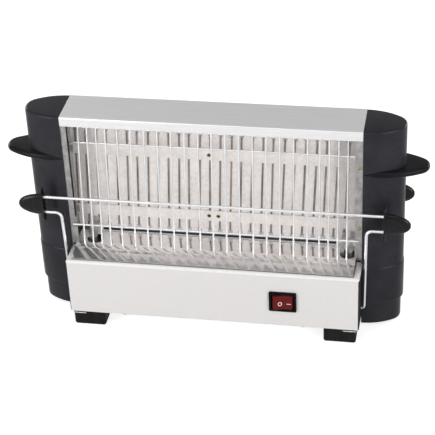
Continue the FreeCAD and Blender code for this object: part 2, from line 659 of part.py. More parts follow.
def top_cover():
    """Folded cover: top sheet, a lip down each long side and a flange turned in under each lip."""
    def bent_side(inset, corner):
        half = HALF_DEPTH - inset
        body = block(-HALF_BODY, HALF_BODY, -half, half, COVER_UNDERSIDE + inset, BODY_TOP - inset)
        folds = [edge for edge in body.Edges if edge.BoundBox.XLength > BODY_LENGTH - NEAR
                 and edge.BoundBox.ZMin > BODY_TOP - inset - NEAR]
        return body.makeFillet(corner, folds)

    cover = bent_side(0, COVER_CORNER).cut(bent_side(COVER_SHEET, COVER_CORNER - COVER_SHEET))
    inner_edge = GRID_WIRE / 2 + SEAM - grid_top_y(COVER_UNDERSIDE)
    low = COVER_UNDERSIDE - OVERRUN
    high = COVER_UNDERSIDE + COVER_SHEET + OVERRUN
    cuts = [block(-HALF_BODY, HALF_BODY, -inner_edge, inner_edge, low, high)]
    clear = FRAME_FLANGE + SEAM
    inside = HALF_DEPTH - COVER_SHEET
    for side in (-1, 1):
        x0, x1 = sorted((side * (HALF_BODY - clear), side * HALF_BODY))
        cuts.append(block(x0, x1, -inside, inside, low, high))
    return cover.cut(Part.makeCompound(cuts))


def end_cap():
    """Right end cap: an oval moulded shell with a band, a skirt and a flat carrying handle."""
    column = half_oval(HALF_BODY, CAP_REACH, HALF_DEPTH, BAND_BOTTOM, BODY_TOP)
    brow = [edge for edge in column.Edges if edge.BoundBox.ZMin > BODY_TOP - NEAR
            and edge.BoundBox.XLength > NEAR]
    column = column.makeChamfer(CAP_TOP_BEVEL, brow)
    band = half_oval(HALF_BODY, CAP_REACH + BAND_SWELL, HALF_DEPTH + BAND_SWELL, BAND_BOTTOM, BAND_TOP)
    skirt = half_oval(HALF_BODY, CAP_REACH - SKIRT_INSET, HALF_DEPTH - SKIRT_INSET, CAP_BOTTOM, BAND_BOTTOM)
    hem = [edge for edge in skirt.Edges if edge.BoundBox.ZMax < CAP_BOTTOM + NEAR
           and edge.BoundBox.XLength > NEAR]
    skirt = skirt.makeChamfer(CAP_BOTTOM_BEVEL, hem)
    grip_z = HANDLE_HEIGHT - HANDLE_THICK / 2
    grip_x = HALF_BODY + HANDLE_CENTRE_OUT
    grip = half_oval(grip_x, HANDLE_REACH, HALF_DEPTH, grip_z, grip_z + HANDLE_THICK)
    root = block(HALF_BODY, grip_x, -HALF_DEPTH, HALF_DEPTH, grip_z, grip_z + HANDLE_THICK)
    grip = grip.fuse(root).removeSplitter()
    rims = [edge for edge in grip.Edges if edge.BoundBox.ZLength < NEAR and edge.BoundBox.XLength > NEAR]
    grip = grip.makeChamfer(HANDLE_BEVEL, rims)
    solid = column.multiFuse([band, skirt, grip])
    inner_reach = CAP_REACH - CAP_WALL - SKIRT_INSET
    inner_half = HALF_DEPTH - CAP_WALL - SKIRT_INSET
    hollow = half_oval(HALF_BODY, inner_reach, inner_half, FOOT_HEIGHT, BODY_TOP - CAP_WALL)
    bosses = []
    holes = [block(HALF_BODY - OVERRUN, BASE_HALF_X, -BASE_HALF_Y, BASE_HALF_Y, 0, BASE_TOP)]
    for z in CAP_SCREW_HEIGHTS:
        bosses.append(small_rod(V(HALF_BODY, 0, z), X_AXIS, CAP_BOSS_DIAMETER, CAP_REACH - CAP_WALL / 2))
        holes.append(small_rod(V(HALF_BODY, 0, z), X_AXIS, CAP_SCREW_SHANK + 2 * SHANK_GAP,
                               CAP_SCREW_LENGTH + OVERRUN))
    shell = solid.cut(hollow).multiFuse(bosses)
    return shell.cut(Part.makeCompound(holes)).removeSplitter()


def cap_screws():
    """Screws through the end webs into the bosses of the caps."""
    pair = [screw(V(WEB_INNER, 0, z), -X_AXIS, CAP_SCREW_HEAD, CAP_SCREW_SHANK, CAP_SCREW_LENGTH)
            for z in CAP_SCREW_HEIGHTS]
    return pair + [turned(one) for one in pair]


def top_notch_places():
    return [WINDING_FIRST_X - k * WINDING_PITCH for k in range(WINDING_LOOPS)]


def bottom_notch_places():
    return [WINDING_FIRST_X - (k + 0.5) * WINDING_PITCH for k in range(WINDING_LOOPS - 1)]


def mica_card():
    """Mica card with notches along the top and bottom edges, where the winding goes round."""
    half = CARD_THICK / 2
    card = block(-CARD_HALF, CARD_HALF, -half, half, CARD_BOTTOM, CARD_TOP)
    cuts = []
    reach = NOTCH_WIDTH / 2
    for x in top_notch_places():
        cuts.append(block(x - reach, x + reach, -CARD_THICK, CARD_THICK, TURN_TOP_Z, CARD_TOP + OVERRUN))
    for x in bottom_notch_places():
        cuts.append(block(x - reach, x + reach, -CARD_THICK, CARD_THICK, CARD_BOTTOM - OVERRUN,
                          TURN_BOTTOM_Z))
    cuts += [rivet_hole(x, z, EYELET_BARREL) for x, z in EYELET_SPOTS]
    cuts += [rivet_hole(x, TAB_RIVET_Z, TAB_RIVET_BARREL) for x in TAB_SPOTS]
    return card.cut(Part.makeCompound(cuts))


def rivet_hole(x, z, barrel):
    """Cutter for a hole through the card, a strip or a tab, for a rivet or an eyelet."""
    return small_rod(V(x, -WALL_CUT / 2, z), Y_AXIS, barrel + 2 * SHANK_GAP, WALL_CUT)


def ribbon_run(foot, head):
    """Run across a face of the card: upright at both ends, with a slight slant between them."""
    reach = V(0, 0, math.copysign(RIBBON_UPRIGHT, head.z - foot.z))
    return Part.makePolygon([foot, foot + reach, head - reach, head]).Edges


def winding_path():
    """Centre line of the heating ribbon: up the rear, over, down the front and under, by turns."""
    rear = WINDING_RADIUS
    half_pitch = WINDING_PITCH / 2
    end_z = TAB_RIVET_Z + TAB_RISE + WINDING_END_GAP
    edges = []
    for k in range(WINDING_LOOPS):
        x = WINDING_FIRST_X - k * WINDING_PITCH
        rear_foot = V(x + half_pitch, rear, end_z if k == 0 else TURN_BOTTOM_Z)
        rear_head = V(x, rear, TURN_TOP_Z)
        front_head = V(x, -rear, TURN_TOP_Z)
        last = k == WINDING_LOOPS - 1
        front_foot = V(x - half_pitch, -rear, end_z if last else TURN_BOTTOM_Z)
        edges += ribbon_run(rear_foot, rear_head)
        edges.append(Part.Arc(rear_head, V(x, 0, TURN_TOP_Z + rear), front_head).toShape())
        edges += ribbon_run(front_head, front_foot)
        if not last:
            below = V(front_foot.x, 0, TURN_BOTTOM_Z - rear)
            edges.append(Part.Arc(front_foot, below, V(front_foot.x, rear, TURN_BOTTOM_Z)).toShape())
    return Part.Wire(edges)


def heating_ribbon(path):
    """Flat ribbon swept along the winding's centre line."""
    start = path.Edges[0].firstVertex().Point
    half_x = RIBBON_WIDTH / 2
    half_y = RIBBON_THICK / 2
    corners = [start + V(sx * half_x, sy * half_y, 0) for sx, sy in ((-1, -1), (1, -1), (1, 1), (-1, 1))]
    return path.makePipeShell([Part.makePolygon(corners + corners[:1])], True, False, MITRED)


def least_gap(path):
    """Least clear distance between stretches of the ribbon, measured on points along it."""
    step = RIBBON_WIDTH / 2
    spots = path.discretize(Distance=step)
    apart = math.ceil(WINDING_PITCH / step)
    two_loops = 2 * len(spots) // WINDING_LOOPS
    return min(max(abs(p.y - q.y) - RIBBON_THICK, math.hypot(p.x - q.x, p.z - q.z) - RIBBON_WIDTH)
               for i, p in enumerate(spots) for q in spots[i + apart:i + two_loops])


def cover_strips():
    """Mica strips across the winding, an upper and a lower one on each face of the card."""
    strips = {}
    rows = (("upper", UPPER_STRIP_BOTTOM, UPPER_STRIP_HEIGHT),
            ("lower", LOWER_STRIP_BOTTOM, LOWER_STRIP_HEIGHT))
    for row, bottom, height in rows:
        strip = block(-STRIP_HALF, STRIP_HALF, -STRIP_FACE - STRIP_THICK, -STRIP_FACE, bottom,
                      bottom + height)
        rear = turned(strip)
        for x, z in EYELET_SPOTS:
            hole = rivet_hole(x, z, EYELET_BARREL)
            strip = strip.cut(hole)
            rear = rear.cut(hole)
        strips["front_" + row + "_strip"] = strip
        strips["rear_" + row + "_strip"] = rear
    return strips


def strip_eyelets():
    """Brass eyelets that clamp the strips to the card."""
    eyelets = []
    face = STRIP_FACE + STRIP_THICK
    for x, z in EYELET_SPOTS:
        barrel = small_rod(V(x, -face, z), Y_AXIS, EYELET_BARREL, 2 * face)
        heads = [small_rod(V(x, side * face, z), Y_AXIS * side, EYELET_HEAD, EYELET_HEAD_HEIGHT)
                 for side in (-1, 1)]
        bore = small_rod(V(x, -WALL_CUT / 2, z), Y_AXIS, EYELET_BORE, WALL_CUT)
        eyelets.append(barrel.multiFuse(heads).cut(bore).removeSplitter())
    return eyelets


def terminal_tabs():
    """Flat tabs from the card's lower corners down through the round holes of the plate."""
    face = -CARD_THICK / 2 - TAB_SHEET / 2
    drop = TAB_HOLE_Y
    tabs = []
    for x in TAB_SPOTS:
        path = ((face, TAB_RIVET_Z + TAB_RISE), (face, TAB_RIVET_Z - TAB_RISE),
                (drop, PLATE_TOP + TAB_KNEE_RISE), (drop, TAB_BOTTOM))
        tab = bent_strip(path, TAB_SHEET, x, TAB_WIDTH)
        tabs.append(tab.cut(rivet_hole(x, TAB_RIVET_Z, TAB_RIVET_BARREL)))
    return tabs


def tab_rivets():
    """Rivets that hold the tabs, and the ends of the winding, to the card."""
    rivets = []
    front = CARD_THICK / 2 + TAB_SHEET
    rear = CARD_THICK / 2
    height = WINDING_RADIUS - CARD_THICK / 2
    for x in TAB_SPOTS:
        barrel = small_rod(V(x, -front, TAB_RIVET_Z), Y_AXIS, TAB_RIVET_BARREL, front + rear)
        heads = [small_rod(V(x, -front, TAB_RIVET_Z), -Y_AXIS, TAB_RIVET_HEAD, height),
                 small_rod(V(x, rear, TAB_RIVET_Z), Y_AXIS, TAB_RIVET_HEAD, height)]
        rivets.append(barrel.multiFuse(heads).removeSplitter())
    return rivets


def card_clips():
    """U clips on the end webs that grip the strips and the card between them."""
    clips = []
    face = STRIP_FACE + STRIP_THICK
    for middle in (UPPER_STRIP_MIDDLE, LOWER_STRIP_MIDDLE):
        z0 = middle - CLIP_HEIGHT / 2
        z1 = middle + CLIP_HEIGHT / 2
        outer = block(WEB_INNER - CLIP_ARM, WEB_INNER, -face - CLIP_SHEET, face + CLIP_SHEET, z0, z1)
        slot = block(WEB_INNER - CLIP_ARM - OVERRUN, WEB_INNER - CLIP_SHEET, -face, face,
                     z0 - OVERRUN, z1 + OVERRUN)
        clips += both_ends(outer.cut(slot))
    return clips


def upright_places():
    """X places of the upright wires of a grid."""
    outer = [HALF_BODY - OUTER_WIRE_INSET - k * OUTER_WIRE_PITCH for k in range(OUTER_WIRES_EACH_SIDE)]
    count = int((outer[-1] - WIRE_GROUP_GAP) / INNER_WIRE_PITCH)
    inner = [k * INNER_WIRE_PITCH for k in range(-count, count + 1)]
    return [-x for x in outer] + inner + outer[::-1]


def grid_top_y(z):
    """Middle of the upright wires above their bend."""
    return grid_y(GRID_BEND_Z) + (z - GRID_BEND_Z) * math.tan(GRID_TOP_LEAN)


def wire_grid():
    """Front grid: upright wires that lean in to the top, each spot welded to two cross wires."""
    foot_z = PLATE_TOP - GRID_FOOT_BELOW_PLATE
    path_points = [V(0, grid_y(foot_z), foot_z), V(0, grid_y(GRID_BEND_Z), GRID_BEND_Z),
                   V(0, grid_top_y(GRID_TOP), GRID_TOP)]
    upright = wire_along(Part.makePolygon(path_points), GRID_WIRE)
    uprights = []
    for x in upright_places():
        copy = upright.copy()
        copy.translate(V(x, 0, 0))
        uprights.append(copy)
    upper_y = grid_y(UPPER_CROSS_Z) + WELD_STEP
    crosses = []
    for inset, y, z in ((LOWER_CROSS_INSET, LOWER_CROSS_Y, LOWER_CROSS_Z),
                        (UPPER_CROSS_INSET, upper_y, UPPER_CROSS_Z)):
        half = HALF_BODY - inset
        crosses.append(small_rod(V(-half, y, z), X_AXIS, CROSS_WIRE, 2 * half))
    return crosses + uprights


def bail_path():
    """Centre line of a bail in its upright pose, pivot axis on X: hook, leg, loop and long bar."""
    foot_x = HALF_BODY + LEG_FOOT_OUT
    top_x = HALF_BODY + LEG_TOP_OUT
    hook = V(HALF_BODY - BAIL_HOOK_INSIDE, 0, 0)
    centre = V(LOOP_STRAIGHT_END, 0, LEG_HEIGHT + LOOP_HEIGHT / 2)
    half = [hook, V(foot_x, 0, 0), V(top_x, 0, LEG_HEIGHT), V(LOOP_STRAIGHT_END, 0, LEG_HEIGHT)]
    right = rounded_path(half, [HOOK_BEND, SHOULDER_BEND]).Edges
    turn = Part.Arc(V(LOOP_STRAIGHT_END, 0, LEG_HEIGHT), centre + V(LOOP_HEIGHT / 2, 0, 0),
                    V(LOOP_STRAIGHT_END, 0, UPPER_HOOK)).toShape()
    bar = Part.LineSegment(V(LOOP_STRAIGHT_END, 0, UPPER_HOOK),
                           V(-LOOP_STRAIGHT_END, 0, UPPER_HOOK)).toShape()
    side = Part.Wire(right + [turn])
    other = side.mirror(V(0, 0, 0), X_AXIS)
    return Part.Wire(Part.__sortEdges__(side.Edges + [bar] + other.Edges))


def grip():
    """Right grip in the bail's upright pose: a guard and a flat rounded paddle round the wire."""
    middle = LEG_HEIGHT + LOOP_HEIGHT / 2
    guard_end = GRIP_GUARD_X + GRIP_GUARD_THICK
    half_z = GRIP_GUARD_HEIGHT / 2
    half_y = GRIP_GUARD_DEPTH / 2
    guard = block(GRIP_GUARD_X, guard_end, -half_y, half_y, middle - half_z, middle + half_z)
    guard = guard.makeChamfer(GRIP_GUARD_BEVEL, [edge for edge in guard.Edges if is_along(edge, X_AXIS)])
    paddle = half_oval(0, GRIP_LENGTH, GRIP_HEIGHT / 2, -GRIP_THICK / 2, GRIP_THICK / 2)
    rims = [edge for edge in paddle.Edges if edge.BoundBox.ZLength < NEAR and edge.BoundBox.XLength > NEAR]
    paddle = paddle.makeChamfer(GRIP_BEVEL, rims)
    paddle.rotate(V(0, 0, 0), X_AXIS, 90)
    paddle.translate(V(guard_end, 0, middle))
    slot = BAIL_WIRE / 2 + GRIP_SLOT_GAP
    reach = LOOP_HEIGHT / 2 + slot
    mouth = block(GRIP_GUARD_X - OVERRUN, LOOP_STRAIGHT_END, -slot, slot, middle - reach, middle + reach)
    turn = rod(V(LOOP_STRAIGHT_END, -slot, middle), Y_AXIS, 2 * reach, 2 * slot)
    return guard.fuse(paddle).removeSplitter().cut(mouth.fuse(turn))


def swung(shape, inward, rear):
    """Move a piece from the bail's upright pose to its place, leaning inward by an angle."""
    copy = shape.copy()
    copy.rotate(V(0, 0, 0), X_AXIS, -math.degrees(inward))
    copy.translate(V(0, -PIVOT_Y, PIVOT_Z))
    return turned(copy) if rear else copy


def bail_stop_angle():
    """Inward lean at which the long bar is a small gap away from the end caps."""
    bar_y = HALF_DEPTH + BAIL_STOP_GAP + BAIL_WIRE / 2
    return math.asin((PIVOT_Y - bar_y) / UPPER_HOOK)


def rocker_pivot():
    return V(SWITCH_X, -BASE_HALF_Y + ROCKER_PIVOT_INSIDE, SWITCH_Z)


def switch_housing():
    """Switch body behind the panel, its bezel in front, and the window for the rocker."""
    pivot = rocker_pivot()
    bezel = slab(BEZEL_LENGTH / 2, BEZEL_HEIGHT / 2, BEZEL_ROUND, 0, BEZEL_THICK)
    bezel.rotate(V(0, 0, 0), X_AXIS, 90)
    bezel.translate(V(SWITCH_X, -BASE_HALF_Y, SWITCH_Z))
    half_x = SWITCH_BODY_LENGTH / 2
    half_z = SWITCH_BODY_HEIGHT / 2
    body = block(SWITCH_X - half_x, SWITCH_X + half_x, -BASE_HALF_Y, -BASE_HALF_Y + SWITCH_BODY_DEPTH,
                 SWITCH_Z - half_z, SWITCH_Z + half_z)
    window_x = ROCKER_LENGTH / 2 + ROCKER_SIDE_GAP
    window_z = ROCKER_HEIGHT / 2 + ROCKER_END_GAP
    window = block(SWITCH_X - window_x, SWITCH_X + window_x, -BASE_HALF_Y - BEZEL_THICK - OVERRUN,
                   pivot.y + SWITCH_POCKET_DEPTH, SWITCH_Z - window_z, SWITCH_Z + window_z)
    pin_reach = ROCKER_HEIGHT / 2 + ROCKER_PIN_LENGTH + ROCKER_END_GAP
    bore = ROCKER_PIN / math.cos(math.pi / PIN_SIDES) + 2 * ROCKER_PIN_GAP
    pins = small_rod(pivot - Z_AXIS * pin_reach, Z_AXIS, bore, 2 * pin_reach, PIN_SIDES)
    return bezel.fuse(body).removeSplitter().cut(Part.makeCompound([window, pins]))


def switch_rocker():
    """Rocker with a dished face and two pins, rocked so that its left end stands out."""
    half = ROCKER_LENGTH / 2
    low = -ROCKER_HEIGHT / 2
    face = -ROCKER_FACE_OUT
    edge = face + ROCKER_EDGE
    dish = Part.Arc(V(-half, face, low), V(0, face + ROCKER_DISH, low), V(half, face, low)).toShape()
    hub_y = edge + ROCKER_BACK_RISE
    back = Part.Arc(V(ROCKER_HUB, hub_y, low), V(0, ROCKER_HUB, low), V(-ROCKER_HUB, hub_y, low))
    outline = Part.Wire([
        dish,
        Part.LineSegment(V(half, face, low), V(half, edge, low)).toShape(),
        Part.LineSegment(V(half, edge, low), V(ROCKER_HUB, hub_y, low)).toShape(),
        back.toShape(),
        Part.LineSegment(V(-ROCKER_HUB, hub_y, low), V(-half, edge, low)).toShape(),
        Part.LineSegment(V(-half, edge, low), V(-half, face, low)).toShape(),
    ])
    rocker = Part.Face(outline).extrude(V(0, 0, ROCKER_HEIGHT))
    pin_reach = ROCKER_HEIGHT / 2 + ROCKER_PIN_LENGTH
    pins = small_rod(V(0, 0, -pin_reach), Z_AXIS, ROCKER_PIN, 2 * pin_reach, PIN_SIDES)
    rocker = rocker.fuse(pins).removeSplitter()
    rocker.rotate(V(0, 0, 0), Z_AXIS, math.degrees(ROCKER_THROW))
    rocker.translate(rocker_pivot())
    return rocker


def switch_blades():
    """Flat terminals on the back of the switch."""
    back = -BASE_HALF_Y + SWITCH_BODY_DEPTH
    return [block(SWITCH_X + side * BLADE_SPACING - BLADE_THICK / 2,
                  SWITCH_X + side * BLADE_SPACING + BLADE_THICK / 2, back, back + BLADE_LENGTH,
                  SWITCH_Z - BLADE_WIDTH / 2, SWITCH_Z + BLADE_WIDTH / 2) for side in (-1, 1)]


def terminal_block():
    """Moulded block on the floor of the base, where the inner leads meet."""
    floor = BASE_FLOOR + FLOOR_SHEET
    body = block(BLOCK_X - BLOCK_LENGTH / 2, BLOCK_X + BLOCK_LENGTH / 2, BLOCK_Y - BLOCK_DEPTH / 2,
                 BLOCK_Y + BLOCK_DEPTH / 2, floor, floor + BLOCK_HEIGHT)
    crest = [edge for edge in body.Edges if edge.BoundBox.ZMin > floor + BLOCK_HEIGHT - NEAR]
    return body.makeChamfer(BLOCK_BEVEL, crest)


def inner_leads():
    """Insulated leads from the tabs and the switch to the terminal block."""
    front = BLOCK_Y - BLOCK_DEPTH / 2
    mid_z = BASE_FLOOR + FLOOR_SHEET + BLOCK_HEIGHT / 2
    low = (BLOCK_X - BLOCK_LENGTH / 4, BLOCK_X, BLOCK_X + BLOCK_LENGTH / 4)
    drop = TAB_BOTTOM
    lower = drop - TAB_LEAD_DROP
    right = TAB_SPOTS[1]
    left = TAB_SPOTS[2]
    blade_y = -BASE_HALF_Y + SWITCH_BODY_DEPTH + BLADE_LENGTH
    turn_y = blade_y + BLADE_LEAD_STRAIGHT
    inner = SWITCH_X - BLADE_SPACING
    outer = SWITCH_X + BLADE_SPACING
    routes = [
        [V(left, TAB_HOLE_Y, drop), V(left, TAB_HOLE_Y, lower), V(low[0], TAB_HOLE_Y + TAB_LEAD_TURN, lower),
         V(low[0], front - 2 * BLOCK_LEAD_REACH, mid_z), V(low[0], front, mid_z)],
        [V(inner, blade_y, SWITCH_Z), V(inner, turn_y, SWITCH_Z), V(low[1], front - BLOCK_LEAD_REACH, mid_z),
         V(low[1], front, mid_z)],
        [V(outer, blade_y, SWITCH_Z), V(outer, turn_y + LEAD_STEP, SWITCH_Z),
         V(right, TAB_HOLE_Y + TAB_LEAD_TURN, SWITCH_Z), V(right, TAB_HOLE_Y, SWITCH_Z),
         V(right, TAB_HOLE_Y, drop)],
    ]
    return [wire_along(Part.makePolygon(route), LEAD_DIAMETER) for route in routes]


def cord_bushing():
    """Moulded bushing in the rear wall, where the supply enters."""
    seat = V(BUSHING_X, BASE_HALF_Y, BUSHING_Z)
    sides = BUSHING_SIDES
    head = small_rod(seat, Y_AXIS, BUSHING_HEAD, BUSHING_HEAD_THICK, sides)
    rim = [edge for edge in head.Edges if edge.BoundBox.YMin > seat.y + BUSHING_HEAD_THICK - NEAR]
    head = head.makeChamfer(BUSHING_BEVEL, rim)
    barrel = small_rod(seat - Y_AXIS * BUSHING_INSIDE, Y_AXIS, BUSHING_BARREL, BUSHING_INSIDE, sides)
    bore = small_rod(seat - Y_AXIS * (BUSHING_INSIDE + OVERRUN), Y_AXIS, BUSHING_BORE,
                     BUSHING_INSIDE + BUSHING_HEAD_THICK + 2 * OVERRUN, sides)
    return head.fuse(barrel).cut(bore)


def foot_screws():
    """Screws up through the feet into the floor of the base."""
    recess = FOOT_SCREW_RECESS
    length = BASE_FLOOR + FLOOR_SHEET + FOOT_SCREW_TIP - recess
    return [screw(V(sx * FOOT_X, sy * FOOT_Y, recess), -Z_AXIS, FOOT_SCREW_HEAD, FOOT_SCREW_SHANK, length)
            for sx, sy in foot_spots()]


def floor_screws():
    """Screws up through the bottom flange into the floor of the base."""
    return [screw(V(x, y, FOOT_HEIGHT), -Z_AXIS, FOOT_SCREW_HEAD, FOOT_SCREW_SHANK, FLOOR_SCREW_LENGTH)
            for x, y in floor_screw_spots()]


def main():
    os.makedirs("parts", exist_ok=True)
    save("base_shell", base_shell())
    save("bottom_plate", bottom_plate())
    save("reflector_plate", polished_plate())
    save("top_cover", top_cover())
    frame = end_frame()
    save("right_end_frame", frame)
    save("left_end_frame", turned(frame))
    cap = end_cap()
    save("right_end_cap", cap)
    save("left_end_cap", turned(cap))
    save("mica_card", mica_card())
    path = winding_path()
    winding = heating_ribbon(path)
    print("winding: least gap %.2f mm, volume %.1f of %.1f mm3" % (
        least_gap(path), winding.Volume, path.Length * RIBBON_WIDTH * RIBBON_THICK))
    save("heating_wire", winding)
    for node, strip in cover_strips().items():
        save(node, strip)
    save("strip_eyelets", strip_eyelets())
    save("terminal_tabs", terminal_tabs())
    save("tab_rivets", tab_rivets())
    save("card_clips", card_clips())
    grid = wire_grid()
    save("front_grid", grid)
    save("rear_grid", [turned(wire) for wire in grid])
    bail = wire_along(bail_path(), BAIL_WIRE)
    right_grip = grip()
    left_grip = right_grip.mirror(V(0, 0, 0), X_AXIS)
    for name, inward, rear in (("front", -FRONT_BAIL_LEAN, False), ("rear", bail_stop_angle(), True)):
        save(name + "_bail", swung(bail, inward, rear))
        save(name + "_grips", [swung(one, inward, rear) for one in (right_grip, left_grip)])
    save("switch_housing", switch_housing())
    save("switch_rocker", switch_rocker())
    save("switch_blades", switch_blades())
    save("terminal_block", terminal_block())
    save("inner_leads", inner_leads())
    save("cord_bushing", cord_bushing())
    for sx, sy in foot_spots():
        place = ("rear" if sy > 0 else "front") + "_" + ("right" if sx > 0 else "left")
        save(place + "_foot", foot(sx, sy))
    save("frame_screws", frame_screws())
    save("cap_screws", cap_screws())
    save("foot_screws", foot_screws())
    save("floor_screws", floor_screws())
    print("bail stop angle %.3f degrees" % math.degrees(bail_stop_angle()))


main()
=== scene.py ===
import json
import math

import bmesh
import bpy
from bpy.props import FloatProperty, FloatVectorProperty, IntProperty, PointerProperty
from mathutils import Matrix, Vector


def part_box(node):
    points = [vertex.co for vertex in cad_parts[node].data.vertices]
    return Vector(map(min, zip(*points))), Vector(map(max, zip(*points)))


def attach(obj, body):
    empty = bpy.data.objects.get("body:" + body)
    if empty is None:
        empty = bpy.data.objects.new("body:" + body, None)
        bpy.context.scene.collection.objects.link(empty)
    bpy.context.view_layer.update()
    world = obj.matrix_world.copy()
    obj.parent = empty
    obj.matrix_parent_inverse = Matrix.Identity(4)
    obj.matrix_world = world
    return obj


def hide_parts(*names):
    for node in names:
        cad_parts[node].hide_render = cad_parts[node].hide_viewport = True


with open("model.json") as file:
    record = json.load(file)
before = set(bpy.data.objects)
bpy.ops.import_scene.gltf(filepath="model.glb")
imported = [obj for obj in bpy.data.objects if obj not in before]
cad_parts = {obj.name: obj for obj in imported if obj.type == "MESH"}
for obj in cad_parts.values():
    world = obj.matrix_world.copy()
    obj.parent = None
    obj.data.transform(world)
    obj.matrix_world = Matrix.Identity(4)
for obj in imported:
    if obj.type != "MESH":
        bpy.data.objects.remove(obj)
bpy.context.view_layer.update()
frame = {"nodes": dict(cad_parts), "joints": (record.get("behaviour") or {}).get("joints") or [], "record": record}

bl_info = {
    "name": "Vertical Toaster",
    "version": (1, 0, 0),
    "blender": (4, 5, 0),
    "location": "View3D > Sidebar > Toaster",
    "description": "Dresses an upright toaster: wire grids, holders, heating card, end caps and switch",
    "category": "Object",
}

# Corners of the whole part and of the nodes that new pieces are fitted to, in metres
BODY_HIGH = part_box("top_cover")[1]
BASE_LOW, BASE_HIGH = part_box("base_shell")
CARD_LOW, CARD_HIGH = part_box("mica_card")
CAP_LOW, CAP_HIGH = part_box("right_end_cap")
GRID_LOW, GRID_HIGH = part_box("front_grid")
PIVOTS = {joint["name"]: Vector(joint["pos_m"]) for joint in frame["joints"]}
FEET = ("front_right_foot", "front_left_foot", "rear_right_foot", "rear_left_foot")

# One millimetre in the scene's metres
MM = 0.001

# Steps that a wire takes round a quarter turn
ARC_STEPS = 10

# How far a box cutter reaches past a face, and half the length of a round cutter through a wall
PAST = 1 * MM
ROD_HALF = 3 * MM

# Where a painted shadow darkens the slit at the inner edge of an end frame's flange: from the middle of the
# length, and heights
SLIT_SHADE_BAND = (137.5 * MM, 139.5 * MM)
SLIT_SHADE_HEIGHTS = (112 * MM, 216 * MM)
SLIT_SHADE_COLOUR = (0.01, 0.009, 0.009)

# Levels of a noise texture between which a colour and a roughness wander
TINT_FROM, TINT_TO = 0.35, 0.65
WANDER_FROM, WANDER_TO = 0.3, 0.7

# Domed screw head: shares of its height and of its radius
HEAD_DOME = ((0, 0.6), (0, 1), (0.35, 0.99), (0.62, 0.9), (0.85, 0.68), (0.97, 0.36), (1, 0.04))

# Steepness from which a face belongs to the end walls, black as painted shade, or to the rolled rim, whiter as a
# painted highlight
END_LEAN = 0.6
RIM_LEAN = 0.1

# Rounding of the edges of the nodes that are kept
COVER_ROUND = 0.25 * MM
SWITCH_ROUND = 0.6 * MM
FOOT_ROUND = 1.0 * MM


class WireSizes(bpy.types.PropertyGroup):
    """Gauges and bends of the grids and the swinging holders."""
    grid_wire: FloatProperty(name="Grid wire", description="Diameter of the upright wires",
                             default=1.8 * MM, unit="LENGTH")
    cross_wire: FloatProperty(name="Cross wire", description="Diameter of the two cross wires of a grid",
                              default=2.0 * MM, unit="LENGTH")
    inner_pitch: FloatProperty(name="Inner pitch", description="Spacing of the middle upright wires",
                               default=13.14 * MM, unit="LENGTH")
    outer_start: FloatProperty(name="Outer start",
                               description="Place of the first of the closer outer wires",
                               default=103.8 * MM, unit="LENGTH")
    outer_pitch: FloatProperty(name="Outer pitch", description="Spacing of the outer upright wires",
                               default=8.93 * MM, unit="LENGTH")
    inner_half: IntProperty(name="Inner wires",
                            description="Upright wires at the inner pitch, each side of the middle",
                            default=7)
    outer_count: IntProperty(name="Outer wires", description="Upright wires at the outer pitch, each side",
                             default=4)
    lean: FloatProperty(name="Lean", description="Inward lean of the upright wires",
                        default=math.radians(6.42), subtype="ANGLE")
    top_lean: FloatProperty(name="Top lean", description="Lean of the upright wires above their bend",
                            default=math.radians(11.5), subtype="ANGLE")
    bend_height: FloatProperty(name="Bend height", description="Height of the bend near the top cover",
                               default=203.5 * MM, unit="LENGTH")
    bend_round: FloatProperty(name="Bend radius", description="Radius of the bend near the top cover",
                              default=20.0 * MM, unit="LENGTH")
    weld_share: FloatProperty(name="Weld share",
                              description="Spacing of welded wires against wires that only touch",
                              default=0.86, subtype="FACTOR")
    weld_height: FloatProperty(name="Lower cross height", description="Height of the lower cross wire",
                               default=103.2 * MM, unit="LENGTH")
    weld_back: FloatProperty(name="Lower cross distance",
                             description="Lower cross wire from the middle plane", default=23.15 * MM,
                             unit="LENGTH")
    lower_inset: FloatProperty(name="Lower cross inset",
                               description="Lower cross wire's ends in from the upper one's",
                               default=2.7 * MM, unit="LENGTH")
    upper_height: FloatProperty(name="Upper cross height", description="Height of the upper cross wire",
                                default=192.0 * MM, unit="LENGTH")
    bail_wire: FloatProperty(name="Holder wire", description="Diameter of the swinging holder's wire",
                             default=3.0 * MM, unit="LENGTH")
    hook_reach: FloatProperty(name="Hook reach", description="From the base's end wall in to a hook's tip",
                              default=6.1 * MM, unit="LENGTH")
    hook_round: FloatProperty(name="Hook bend", description="Radius of the bend between hook and leg",
                              default=2.8 * MM, unit="LENGTH")
    leg_foot: FloatProperty(name="Leg foot", description="From the base's end wall out to a leg's foot",
                            default=2.9 * MM, unit="LENGTH")
    leg_top: FloatProperty(name="Leg top", description="From the base's end wall out to a leg's top",
                           default=4.4 * MM, unit="LENGTH")
    leg_round: FloatProperty(name="Shoulder bend",
                             description="Radius of the bend between leg and short bar", default=6.0 * MM,
                             unit="LENGTH")
    leg_height: FloatProperty(name="Leg height", description="From the pivot to the short bars of a holder",
                              default=93.0 * MM, unit="LENGTH")
    loop_height: FloatProperty(name="Loop height",
                               description="From a short bar to the long bar of a holder",
                               default=17.7 * MM, unit="LENGTH")
    loop_end: FloatProperty(name="Loop end", description="Where the long bar starts to turn back",
                            default=176.0 * MM, unit="LENGTH")


